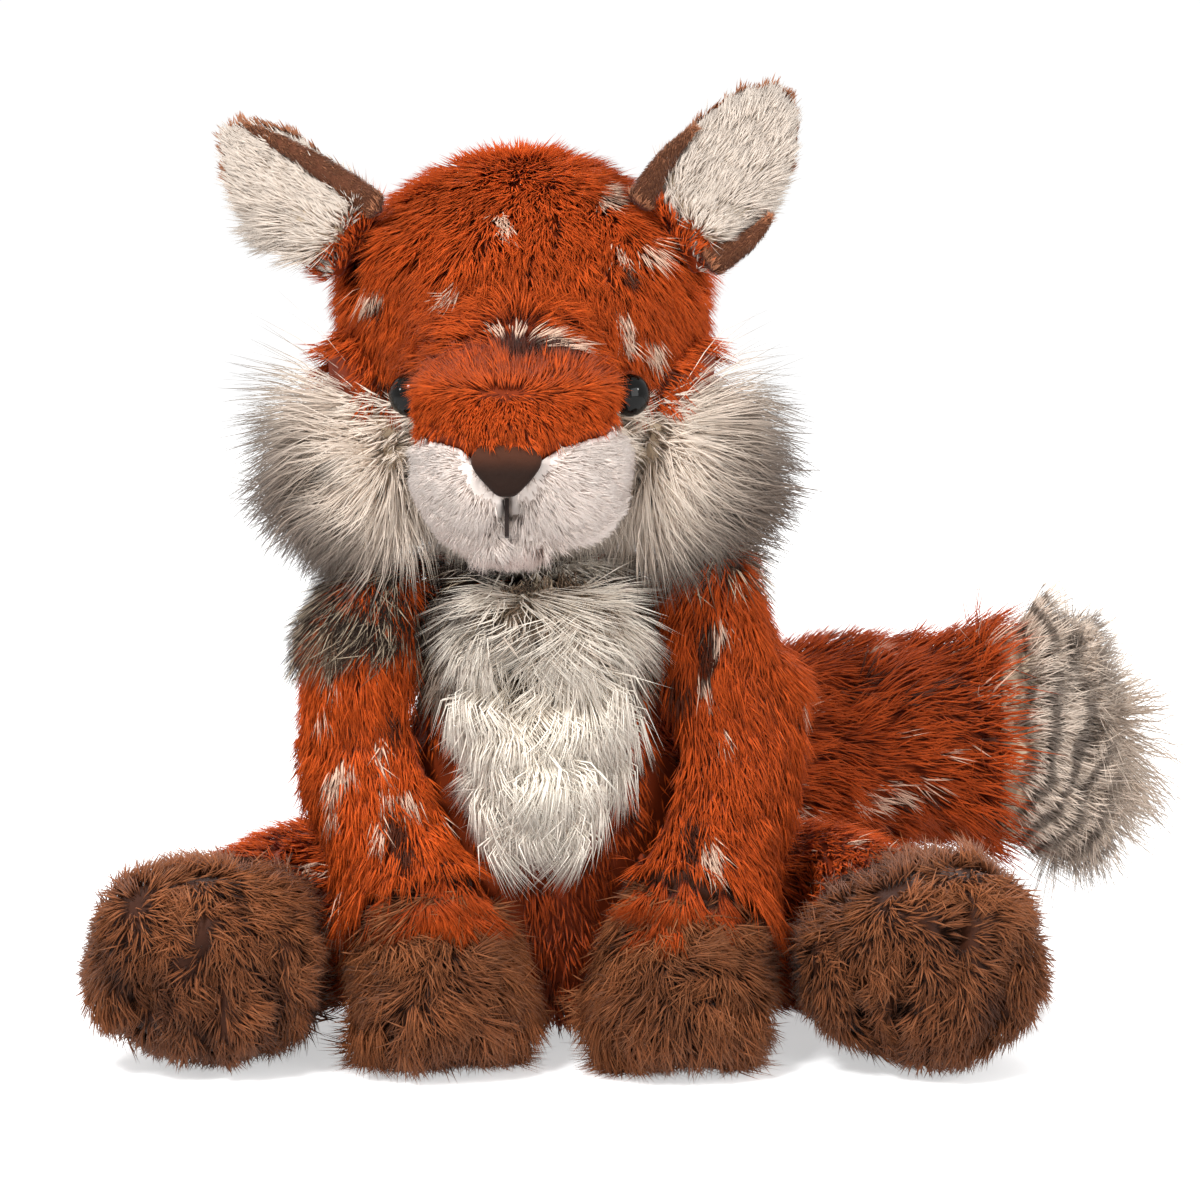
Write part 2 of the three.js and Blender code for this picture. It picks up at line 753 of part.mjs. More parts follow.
// Throat ruff and chest bib lie on the front of the torso
const throatHeight = neckSeamHeight - throatDrop;
const bibTop = neckSeamHeight - bibDrop;
const frontOfTorso = (height) => {
  const { centre, halfDepth } = torsoSection(height);
  return at(centre.x, centre.y - halfDepth, height);
};
const throatForm = stuffed({
  knots: throatShares.map((share, k) => {
    const middle = frontOfTorso(throatHeight);
    const side = (2 * k) / (throatShares.length - 1) - 1;
    return at(
      middle.x + throatHalfSpan * side,
      middle.y + throatHalfDepth * (1 - share) - throatStandOut,
      throatHeight,
    );
  }),
  halfWidths: scaled(throatHalfDepth, throatShares),
  halfDepths: scaled(throatHalfHeight, throatShares),
  deepAxis: upward,
  startShare: 0.3,
  endShare: 0.3,
  bluntness: 2.3,
  sides: 14,
  rings: 10,
});
const throatRuff = throatForm.solid().subtract(aroundTorso);
const bibForm = stuffed({
  knots: bibWidthShares.map((_, k) => frontOfTorso(
    bibTop + ((bibBottom - bibTop) * k) / (bibWidthShares.length - 1),
  )),
  halfWidths: scaled(bibHalfWidth, bibWidthShares),
  halfDepths: scaled(bibHalfDepth, bibDepthShares),
  deepAxis: towardsBack,
  startShare: 0.25,
  endShare: 0.35,
  bluntness: 2.3,
  sides: 16,
  rings: 10,
});
const chestBib = bibForm.solid()
  .subtract(aroundTorso)
  .subtract(throatForm.solid(seamGap));

const fabrics = {
  rust: ['#b5501f', 1],
  snout: ['#a84a1e', 1],
  ivory: ['#ece4d6', 1],
  muzzle: ['#efe9e3', 1],
  taupe: ['#8a7460', 1],
  cream: ['#cfc0a8', 1],
  brown: ['#6f4a35', 1],
  earBrown: ['#8a5a3e', 1],
  velvet: ['#2e1c14', 0.9],
  pink: ['#c9b0a4', 1],
  thread: ['#1c1210', 0.8],
  grey: ['#a39684', 1],
  glossBlack: ['#0b0908', 0.12],
  white: ['#d9d9d6', 0.5],
};

const group = new THREE.Group();
function place(name, solid, fabric) {
  const { vertProperties, triVerts } = solid.getMesh();
  const geometry = new THREE.BufferGeometry();
  geometry.setAttribute('position', new THREE.Float32BufferAttribute(vertProperties, 3));
  geometry.setIndex(new THREE.Uint32BufferAttribute(triVerts, 1));
  geometry.computeVertexNormals();
  const [color, roughness] = fabrics[fabric];
  const mesh = new THREE.Mesh(geometry, new THREE.MeshStandardMaterial({ color, roughness, metalness: 0 }));
  mesh.name = name;
  group.add(mesh);
}

place('torso', torso, 'rust');
place('chest_bib', chestBib, 'ivory');
place('throat_ruff', throatRuff, 'taupe');
place('neck', neck, 'rust');
place('head', head, 'rust');
place('snout_bridge', snoutBridge, 'snout');
place('chin', chin, 'pink');
place('nose', nose, 'velvet');
place('mouth_stitch', mouthStitch, 'thread');
place('tail', tail, 'rust');
place('tail_tip', tailTip, 'grey');
for (const [side, hand, ear] of [[1, 'left', earLeft], [-1, 'right', earRight]]) {
  const { arm, paw } = armPieces(side);
  const { leg, foot } = legPieces(side);
  place(`muzzle_${hand}`, pad(side), 'muzzle');
  place(`eye_${hand}`, eyeFrame(side)(eyeProfile), 'glossBlack');
  place(`eye_washer_${hand}`, eyeFrame(side)(washerProfile), 'white');
  place(`cheek_ruff_${hand}`, cheekRuff(side), 'cream');
  place(`ear_back_${hand}`, ear.back, 'earBrown');
  place(`ear_lining_${hand}`, ear.lining, 'cream');
  place(`arm_${hand}`, arm, 'rust');
  place(`forepaw_${hand}`, paw, 'brown');
  place(`leg_${hand}`, leg, 'rust');
  place(`foot_${hand}`, foot, 'brown');
}

export default group;
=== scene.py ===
# %% [markdown]
# # Dressing a plush fox
# The toy is a family of stuffed pieces that were measured and jointed beforehand. This file puts the
# cloth on them. Long and short pile could be done with Blender's hair system, but hair can't leave
# Blender as a solid, so every fibre here is a small closed mesh, made in bulk with numpy.

# %% Load the measured toy
import json
import bpy
import bmesh
import numpy as np
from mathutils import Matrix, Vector
from mathutils.bvhtree import BVHTree

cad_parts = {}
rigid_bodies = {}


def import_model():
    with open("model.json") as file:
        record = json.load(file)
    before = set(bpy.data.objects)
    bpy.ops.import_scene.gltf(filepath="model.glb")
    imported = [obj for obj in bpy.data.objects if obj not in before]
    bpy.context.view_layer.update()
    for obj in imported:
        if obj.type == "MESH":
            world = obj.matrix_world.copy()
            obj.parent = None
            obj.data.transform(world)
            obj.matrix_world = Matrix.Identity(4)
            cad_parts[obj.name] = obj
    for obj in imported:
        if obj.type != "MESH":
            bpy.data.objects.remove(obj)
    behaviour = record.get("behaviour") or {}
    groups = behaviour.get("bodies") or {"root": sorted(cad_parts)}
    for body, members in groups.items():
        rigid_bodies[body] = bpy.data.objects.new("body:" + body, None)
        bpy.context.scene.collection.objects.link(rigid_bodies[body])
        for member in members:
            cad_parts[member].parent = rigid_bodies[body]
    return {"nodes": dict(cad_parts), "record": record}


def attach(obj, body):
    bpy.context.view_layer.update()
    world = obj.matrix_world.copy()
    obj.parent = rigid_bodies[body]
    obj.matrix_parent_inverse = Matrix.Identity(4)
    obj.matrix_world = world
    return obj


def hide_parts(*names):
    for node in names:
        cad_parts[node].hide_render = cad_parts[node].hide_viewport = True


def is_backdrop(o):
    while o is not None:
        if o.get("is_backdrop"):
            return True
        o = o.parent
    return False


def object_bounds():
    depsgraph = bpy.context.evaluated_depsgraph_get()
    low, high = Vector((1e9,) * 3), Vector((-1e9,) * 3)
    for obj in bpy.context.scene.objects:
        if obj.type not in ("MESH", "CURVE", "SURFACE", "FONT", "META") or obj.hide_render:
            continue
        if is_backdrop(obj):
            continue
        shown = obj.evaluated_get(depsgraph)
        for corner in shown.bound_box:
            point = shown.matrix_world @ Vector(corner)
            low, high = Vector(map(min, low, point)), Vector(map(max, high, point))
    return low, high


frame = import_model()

measured_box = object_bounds()
MM = 0.001
HEAD_X = -9.5
bodies = frame["record"]["behaviour"]["bodies"]
body_of = {node: body for body, nodes in bodies.items() for node in nodes}

# %% [markdown]
# The camera stands well back with a long lens, as for a catalogue picture, a little above the toy.
# A near camera would swell the muzzle and the feet.

# %% Camera
LENS, SENSOR, PICTURE, AWAY = 137.4, 36, 1200, 1400
eye_data = bpy.data.cameras.new("catalogue_camera")
eye_data.lens = LENS
eye_data.sensor_width = SENSOR
camera = bpy.data.objects.new("catalogue_camera", eye_data)
bpy.context.collection.objects.link(camera)
aim = Vector((0.0141, 0, 0.1308))
tilt = np.radians(8)
camera.location = aim + Vector((0, -AWAY * MM * np.cos(tilt), AWAY * MM * np.sin(tilt)))
camera.rotation_euler = (aim - camera.location).to_track_quat("-Z", "Y").to_euler()
bpy.context.scene.camera = camera
print("camera", AWAY, "mm away with a lens of", LENS, "mm")

# %% [markdown]
# Pile looks soft only in soft light. One lamp leads from the front left, a broad one fills from the
# right, and one above and behind draws the outline. Two very small ones at the sides give the eyes
# their sparks.

# %% Lamps
CHEST = Vector((0.02, 0, 0.12))


def lamp(name, place, size, watts):
    """A square lamp of that width at place, turned towards the toy's chest."""
    data = bpy.data.lights.new(name, "AREA")
    data.size = size
    data.energy = watts
    obj = bpy.data.objects.new(name, data)
    obj.location = Vector(place)
    obj.rotation_euler = (CHEST - obj.location).to_track_quat("-Z", "Y").to_euler()
    bpy.context.collection.objects.link(obj)


lamp("lead_lamp", (-0.6, -1.1, 1.3), 0.3, 26)
lamp("fill_lamp", (1.1, -1.1, 0.55), 0.9, 10.5)
lamp("rim_lamp", (0.2, 1.1, 1.2), 0.9, 16)
lamp("right_spark_lamp", (-1.17, -0.51, 0.67), 0.13, 2.2)
lamp("left_spark_lamp", (1.12, -0.55, 0.69), 0.13, 2.2)
bpy.context.scene.view_settings.view_transform = "Standard"
print("lamps", len(bpy.data.lights))

# %% [markdown]
# The world and the floor are white, and stay white in the picture: rays from the camera, and those
# that a gloss or a glass sends on, see them brighter than the light alone would make them. All other
# rays don't, so the toy isn't lit any more for it, and the floor keeps a faint shadow. A shader does
# such sums with Math nodes, and one helper strings them together.

# %% World and floor
def maths(tree, *steps):
    """The result of shader sums in a node tree: a step is an operation and what it works on, and None
    there stands for the result of the step before."""
    value = None
    for operation, *given in steps:
        node = tree.nodes.new("ShaderNodeMath")
        node.operation = operation
        for socket, number in zip(node.inputs, given):
            number = value if number is None else number
            if isinstance(number, (int, float)):
                socket.default_value = number
            else:
                tree.links.new(number, socket)
        value = node.outputs[0]
    return value


def seen_directly(tree):
    """A value that is 1 for rays from the camera, and for those that a gloss or a glass sends on."""
    rays = tree.nodes.new("ShaderNodeLightPath").outputs
    first = ("MAXIMUM", rays["Is Camera Ray"], rays["Is Glossy Ray"])
    return maths(tree, first, ("MAXIMUM", None, rays["Is Transmission Ray"]))


AIR_GLOW, FLOOR_GLOW = 0.62, 0.52
world = bpy.data.worlds.new("studio_air")
world.use_nodes = True
bpy.context.scene.world = world
air = world.node_tree
backdrop = air.nodes["Background"].inputs
backdrop["Color"].default_value = (1, 1, 1, 1)
glow = maths(air, ("MULTIPLY_ADD", seen_directly(air), 1 - AIR_GLOW, AIR_GLOW))
air.links.new(glow, backdrop["Strength"])

corners = [(-60, -60, 0), (60, -60, 0), (60, 60, 0), (-60, 60, 0)]
floor_mesh = bpy.data.meshes.new("pale_floor")
floor_mesh.from_pydata(corners, [], [(0, 1, 2, 3)])
floor = bpy.data.objects.new("pale_floor", floor_mesh)
bpy.context.collection.objects.link(floor)
floor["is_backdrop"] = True
paint = bpy.data.materials.new("pale_floor")
paint.use_nodes = True
tree = paint.node_tree
surface = tree.nodes["Principled BSDF"].inputs
surface["Base Color"].default_value = (0.8, 0.8, 0.8, 1)
surface["Roughness"].default_value = 0.9
surface["Specular IOR Level"].default_value = 0
surface["Emission Color"].default_value = (1, 1, 1, 1)
tree.links.new(maths(tree, ("MULTIPLY", seen_directly(tree), FLOOR_GLOW)), surface["Emission Strength"])
floor_mesh.materials.append(paint)
print("floor", abs(2 * corners[0][0]), "m wide")

# %% [markdown]
# Cloth colours are written as the numbers of an ordinary picture, 0 to 255, because they are easy to
# compare with one. Light adds up in linear numbers, so they are converted once, here.

# %% Colours
def dye(red, green, blue):
    """Linear colour of a screen colour: c/12.92 in the dark end, ((c + 0.055)/1.055)^2.4 above it."""
    c = np.array([red, green, blue]) / 255
    return np.where(c < 0.04045, c / 12.92, ((c + 0.055) / 1.055) ** 2.4)


RUST, RUST_DEEP = dye(203, 84, 24), dye(118, 42, 10)
BEIGE, SOOT = dye(236, 212, 188), dye(46, 28, 20)
BROWN, BROWN_DEEP = dye(144, 84, 48), dye(56, 27, 13)
# painted highlight: the lighter colour on the tips of some brown fibres
HIGHLIGHT_TIP = dye(176, 124, 88)
CREAM, CREAM_DEEP = dye(250, 240, 226), dye(204, 184, 158)
TAUPE, TAUPE_TIP = dye(146, 118, 98), dye(48, 34, 26)
GRIZZLE = dye(112, 86, 66)
WHITE, WHITE_DEEP = dye(244, 231, 223), dye(194, 176, 164)
PINK = dye(226, 206, 197)
LINING = dye(206, 193, 181)
SIDES = (("left", 1), ("right", -1))
print("rust in linear light", RUST.round(3))

# %% [markdown]
# Real pile is never even. Every unevenness below, in length, lie or tone, comes from one smooth noise
# that is worked out from whole numbers, so the toy is the same on each run.

# %% Smooth noise and tufts
def hashed(cells, seed):
    """A number from 0 to 1 for each whole-number cell: its three numbers times large odd ones, mixed."""
    c = cells.astype(np.int64)
    h = c[..., 0] * 73856093 ^ c[..., 1] * 19349663 ^ c[..., 2] * 83492791 ^ (seed + 11) * 49979687
    for shift, factor in ((13, 1274126177), (16, 668265263), (15, 374761393)):
        h = ((h ^ (h >> shift)) * factor) & 0x7FFFFFFF
    return ((h ^ (h >> 14)) & 0xFFFFF) / 0xFFFFF


def drift(points, size, seed):
    """Noise from -1 to 1: the hashed numbers of a cell's eight corners, blended by 3t^2 - 2t^3."""
    cell = np.floor(points / size)
    t = points / size - cell
    t = t * t * (3 - 2 * t)
    total = 0
    for corner in np.ndindex(2, 2, 2):
        total = total + np.prod(np.where(corner, t, 1 - t), axis=-1) * hashed(cell + corner, seed)
    return 2 * total - 1


def tufts(points, size, seed):
    """The nearest tuft centre of each point and the tuft's own number. A cell of that size holds one
    centre at a hashed place, and the 27 cells round a point are compared."""
    cell = np.floor(points / size)
    best = np.full(len(points), np.inf)
    centre, number = np.zeros_like(points), np.zeros(len(points))
    for step in np.ndindex(3, 3, 3):
        near = cell + np.array(step) - 1
        place = (near + np.stack([hashed(near, seed + k) for k in range(3)], -1)) * size
        away = ((place - points) ** 2).sum(-1)
        closer = away < best
        best[closer], centre[closer] = away[closer], place[closer]
        number[closer] = hashed(near, seed + 3)[closer]
    return centre, number


def unit(v):
    """Each vector divided by its length."""
    return v / np.maximum(np.linalg.norm(v, axis=-1, keepdims=True), 1e-9)


def smooth_step(x, low, high):
    """0 below low, 1 above high, 3t^2 - 2t^3 between them."""
    t = np.clip((x - low) / (high - low), 0, 1)
    return t * t * (3 - 2 * t)


def towards(x, y, z, p):
    """A direction or a movement for every point of p: x, y and z are numbers, or have one for each."""
    return np.stack([x + 0 * p[:, 0], y + 0 * p[:, 0], z + 0 * p[:, 0]], 1)


print("noise at the origin", drift(np.zeros((1, 3)), 10, 1).round(3))

# %% [markdown]
# All pile shares one finish. Its colour is painted on the fibres themselves, in an attribute, because
# root, tip and fleck belong to the fibre and must move with it. The shader adds dye that took unevenly,
# and dull or silky spots finer than a fibre. A group holds that, so that each cloth can give it its own
# values, and sheen stays a plain number on the shader.

# %% The pile finish
pile_group = bpy.data.node_groups.new("uneven_dye", "ShaderNodeTree")
for name, kind, way in (
    ("Colour", "NodeSocketColor", "INPUT"),
    ("Patch scale", "NodeSocketFloat", "INPUT"),
    ("Patch depth", "NodeSocketFloat", "INPUT"),
    ("Dull", "NodeSocketFloat", "INPUT"),
    ("Colour", "NodeSocketColor", "OUTPUT"),
    ("Roughness", "NodeSocketFloat", "OUTPUT"),
    ("Height", "NodeSocketFloat", "OUTPUT"),
):
    pile_group.interface.new_socket(name=name, in_out=way, socket_type=kind)
gn, gl = pile_group.nodes, pile_group.links
g_in, g_out = gn.new("NodeGroupInput"), gn.new("NodeGroupOutput")
place = gn.new("ShaderNodeTexCoord")
patch = gn.new("ShaderNodeTexNoise")
patch.inputs["Detail"].default_value = 3
gl.new(place.outputs["Object"], patch.inputs["Vector"])
gl.new(g_in.outputs["Patch scale"], patch.inputs["Scale"])
fibre = gn.new("ShaderNodeTexNoise")
fibre.inputs["Scale"].default_value = 900
gl.new(place.outputs["Object"], fibre.inputs["Vector"])
tint = gn.new("ShaderNodeVectorMath")
tint.operation = "SCALE"
patchy = maths(
    pile_group, ("SUBTRACT", patch.outputs["Fac"], 0.5),
    ("MULTIPLY_ADD", None, g_in.outputs["Patch depth"], 1),
)
gl.new(patchy, tint.inputs["Scale"])
gl.new(g_in.outputs["Colour"], tint.inputs[0])
gl.new(tint.outputs[0], g_out.inputs["Colour"])
rough = maths(pile_group, ("MULTIPLY_ADD", fibre.outputs["Fac"], 0.2, g_in.outputs["Dull"]))
gl.new(rough, g_out.inputs["Roughness"])
gl.new(fibre.outputs["Fac"], g_out.inputs["Height"])


def finish(
    name, patch_scale=60, patch_depth=0.5, dull=0.6, sheen=0.06, bump=0.15, colour=None, gloss=0.15,
):
    """A material of the pile finish. colour replaces the painted one where a piece is one colour."""
    mat = bpy.data.materials.new(name)
    mat.use_nodes = True
    nodes, links = mat.node_tree.nodes, mat.node_tree.links
    shader = nodes["Principled BSDF"].inputs
    group = nodes.new("ShaderNodeGroup")
    group.node_tree = pile_group
    for socket, value in (("Patch scale", patch_scale), ("Patch depth", patch_depth), ("Dull", dull)):
        group.inputs[socket].default_value = value
    if colour is None:
        painted = nodes.new("ShaderNodeAttribute")
        painted.attribute_name = "pile"
        links.new(painted.outputs["Color"], group.inputs["Colour"])
    else:
        group.inputs["Colour"].default_value = (*colour, 1)
    links.new(group.outputs["Colour"], shader["Base Color"])
    links.new(group.outputs["Roughness"], shader["Roughness"])
    relief = nodes.new("ShaderNodeBump")
    relief.inputs["Strength"].default_value = bump
    relief.inputs["Distance"].default_value = 0.0004
    links.new(group.outputs["Height"], relief.inputs["Height"])
    links.new(relief.outputs["Normal"], shader["Normal"])
    for socket, value in (("Sheen Weight", sheen), ("Sheen Roughness", 0.4), ("Specular IOR Level", gloss)):
        shader[socket].default_value = value
    return mat


# each line: the name, patch scale, patch depth, dull and sheen
cloth = {name: finish(name, *values) for name, *values in (
    ("rust_pile", 60, 0.5, 0.6, 0.03),
    ("ivory_long_pile", 40, 0.12, 0.42),
    ("taupe_long_pile", 70, 0.5, 0.45),
    ("cream_long_pile", 50, 0.3, 0.42),
    ("cream_short_pile", 60, 0.2, 0.5),
    ("white_short_pile", 120, 0.08, 0.6),
    ("pink_short_pile", 120, 0.15, 0.6),
    ("ear_brown_pile", 90, 0.5, 0.5),
    ("brown_shaggy_pile", 50, 0.55, 0.5, 0.03),
    ("banded_long_pile", 50, 0.3, 0.42),
)}
print("pile finishes", len(cloth))

# %% [markdown]
# A piece made here is a cloud of points and a list of triangles. One helper turns both into a Blender
# mesh, paints it, and tells the toy's frame which body carries it.

# %% From arrays to a piece
def make(name, points, faces, slot, body, paint=None, material=None, stands_for=()):
    """A piece from points in millimetres and triangles. If its volume comes out negative, the
    triangles are turned over, so that they face out."""
    corner = points[faces]
    volume = np.einsum("ij,ij->", corner[:, 0], np.cross(corner[:, 1], corner[:, 2]))
    faces = faces if volume > 0 else faces[:, ::-1]
    mesh = bpy.data.meshes.new(name)
    mesh.vertices.add(len(points))
    mesh.vertices.foreach_set("co", (points * MM).astype(np.float32).ravel())
    mesh.loops.add(faces.size)
    mesh.loops.foreach_set("vertex_index", np.ascontiguousarray(faces).ravel().astype(np.int32))
    mesh.polygons.add(len(faces))
    mesh.polygons.foreach_set("loop_start", np.arange(0, faces.size, 3, dtype=np.int32))
    mesh.polygons.foreach_set("use_smooth", np.ones(len(faces), dtype=bool))
    mesh.update(calc_edges=True)
    mesh.validate()
    if paint is not None:
        layer = mesh.color_attributes.new("pile", "FLOAT_COLOR", "POINT")
        rgba = np.ones((len(points), 4), dtype=np.float32)
        rgba[:, :3] = np.clip(paint, 0, 1)
        layer.data.foreach_set("color", rgba.ravel())
    mesh.materials.append(material or cloth[slot])
    obj = bpy.data.objects.new(name, mesh)
    bpy.context.collection.objects.link(obj)
    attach(obj, body)
    if stands_for:
        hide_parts(*stands_for)


print("bodies that carry pieces", sorted(bodies))

# %% [markdown]
# Under the pile lies the backing cloth, stretched over the filling. It follows the measured solid, but
# lies deeper by the height of the pile, and dimples and grooves are drawn into it as thread does.
# A voxel remesh gives each piece an even net to start from.

# %% Nets
def net_of(node, voxel, rounds):
    """Points, triangles and outward normals of a node's solid, remeshed and relaxed, in millimetres."""
    work = bmesh.new()
    work.from_mesh(frame["nodes"][node].data)
    bmesh.ops.remove_doubles(work, verts=work.verts, dist=1e-6)
    mesh = bpy.data.meshes.new("net")
    work.to_mesh(mesh)
    work.free()
    obj = bpy.data.objects.new("net", mesh)
    bpy.context.collection.objects.link(obj)
    remesh = obj.modifiers.new("net", "REMESH")
    remesh.mode = "VOXEL"
    remesh.voxel_size = voxel * MM
    relax = obj.modifiers.new("relax", "SMOOTH")
    relax.factor = 0.5
    relax.iterations = rounds
    obj.modifiers.new("triangles", "TRIANGULATE")
    done = bpy.data.meshes.new_from_object(obj.evaluated_get(bpy.context.evaluated_depsgraph_get()))
    points = np.empty(len(done.vertices) * 3)
    done.vertices.foreach_get("co", points)
    normals = np.empty(len(done.vertices) * 3)
    done.vertices.foreach_get("normal", normals)
    faces = np.empty(len(done.polygons) * 3, dtype=np.int32)
    done.polygons.foreach_get("vertices", faces)
    for block in (obj, mesh, done):
        (bpy.data.objects if block is obj else bpy.data.meshes).remove(block)
    return points.reshape(-1, 3) / MM, faces.reshape(-1, 3), normals.reshape(-1, 3)


print("a coarse net of the nose has", len(net_of("nose", 2.5, 2)[0]), "points")

# %% [markdown]
# The net has to know its neighbours. A search tree over their solids gives the distance from any
# point to the nearest of them.

# %% Neighbours
def solid_tree(nodes):
    """One search tree over the solids of those nodes, in millimetres."""
    points, faces, start = [], [], 0
    for node in nodes:
        mesh = frame["nodes"][node].data
        points += [v.co / MM for v in mesh.vertices]
        faces += [[start + k for k in p.vertices] for p in mesh.polygons]
        start = len(points)
    return BVHTree.FromPolygons(points, faces) if faces else None


def reach(tree, points):
    """Distance from each point to the tree's solids, and the normal there."""
    if tree is None:
        return np.full(len(points), 1e3), np.zeros((len(points), 3))
    found = [tree.find_nearest(p) for p in points]
    return np.array([f[3] for f in found]), np.array([f[1] for f in found])


print("from the aim of the camera to the head", reach(solid_tree(["head"]), [aim / MM])[0].round(1), "mm")

# %% [markdown]
# Where two pieces are sewn together, the net keeps its place along the seam and moves only across it.
# Pile can't grow in a seam, nor where a limb lies against the cloth, so both places are noted. A probe
# just off the solid tells how much room a fibre has there.

# %% Backing cloth
SEWN, PROBE, CROWDED, BESIDE, FREE = 1.8, 1.5, 1.7, 6, 2.5  # mm


def normals_of(points, faces):
    """Outward normals: the cross products of the triangles, summed at their corners."""
    corner = points[faces]
    flat = np.cross(corner[:, 1] - corner[:, 0], corner[:, 2] - corner[:, 0])
    total = np.zeros_like(points)
    for k in range(3):
        np.add.at(total, faces[:, k], flat)
    return unit(total)


def backing(node, sink, voxel=3.0, rounds=6, lumps=0.8, shape=None, lowest=1.0):
    """The backing cloth of a node as a dictionary: each point moves in by sink, without its part
    across the seam where a neighbour is SEWN on, then out and in by lumps times the noise.
    shape(points, normals) adds a movement of its own. open says where pile can grow: from the height
    lowest up, where the probe isn't CROWDED. covered says where a piece of another body lies BESIDE
    the cloth, FREE of seams."""
    points, faces, normals = net_of(node, voxel, rounds)
    sewn = [n for n in bodies[body_of[node]] if n != node]
    gap, across = reach(solid_tree(sewn), points)
    touching = (gap < SEWN)[:, None]
    along = normals - (normals * across).sum(-1, keepdims=True) * across
    way = np.where(touching, along, normals)
    moved = points - way * sink + normals * (lumps * drift(points, 19, 5) * ~touching[:, 0])[:, None]
    if shape is not None:
        moved = moved + shape(moved, normals)
    others = [n for n in body_of if body_of[n] != body_of[node]]
    off, _ = reach(solid_tree(others), points + PROBE * normals)
    room = np.minimum(off, reach(solid_tree(sewn), points + PROBE * normals)[0])
    print(node, "backing", len(faces), "triangles")
    return {
        "node": node, "points": moved, "faces": faces, "normals": normals_of(moved, faces),
        "open": (room > CROWDED) & (points[:, 2] > lowest),
        "covered": (off < BESIDE) & (gap > FREE) & (points[:, 2] > 1),
    }


def all_over(cloth_piece):
    """The same cloth, with pile allowed everywhere, in its seams too."""
    return dict(cloth_piece, open=np.ones(len(cloth_piece["points"])))


scrap = all_over({
    "points": np.array([[0, 0, 50.0], [10, 0, 50], [0, 10, 50]]), "faces": np.array([[0, 1, 2]]),
})
scrap["normals"] = normals_of(scrap["points"], scrap["faces"])
print("a scrap of cloth, to try things on, looks along", scrap["normals"][0])

# %% [markdown]
# A fibre grows from the backing, leans over the way the cloth was brushed, and joins its neighbours
# in a tuft. Hair curves would be lighter, but they can't be exported. A spindle can: its root and its
# tip are points, and a flat three-sided ring or two lie between them, so it is closed with only six or
# twelve triangles. The whole coat is worked out at once, as arrays with one row for each fibre. First
# its roots are sown over the cloth.

# %% Sowing
def sow(cloth_piece, count, seed, weight=None):
    """Roots and normals spread over the open part of a backing: triangles are drawn in proportion to
    area times weight(middle, normal), and a point in each by the square-root rule."""
    points, faces = cloth_piece["points"], cloth_piece["faces"]
    corner = points[faces]
    area = np.linalg.norm(np.cross(corner[:, 1] - corner[:, 0], corner[:, 2] - corner[:, 0]), axis=-1)
    area = area * cloth_piece["open"][faces].mean(-1)
    normal = cloth_piece["normals"][faces]
    if weight is not None:
        area = area * weight(corner.mean(1), normal.mean(1))
    rng = np.random.default_rng(seed)
    pick = rng.choice(len(faces), count, p=area / area.sum())
    a = np.sqrt(rng.random(count))[:, None]
    b = rng.random(count)[:, None]
    mix = np.concatenate([1 - a, a * (1 - b), a * b], axis=1)[:, :, None]
    return (corner[pick] * mix).sum(1), unit((normal[pick] * mix).sum(1))


p, n = sow(scrap, 4, 0)
print("roots of four fibres on the scrap", p.round(1).tolist())

# %% [markdown]
# Then it is combed. A fibre is a chain of knots. Its first stretch stands off the cloth, the next ones
# lie over, and tufts and locks turn, bow and gather it. Its root lies in the cloth, and no knot gets
# nearer to the ground than a hair's breadth.

# %% Combing
ROOT_DEPTH, LOWEST_KNOT = 0.8, 0.7  # mm


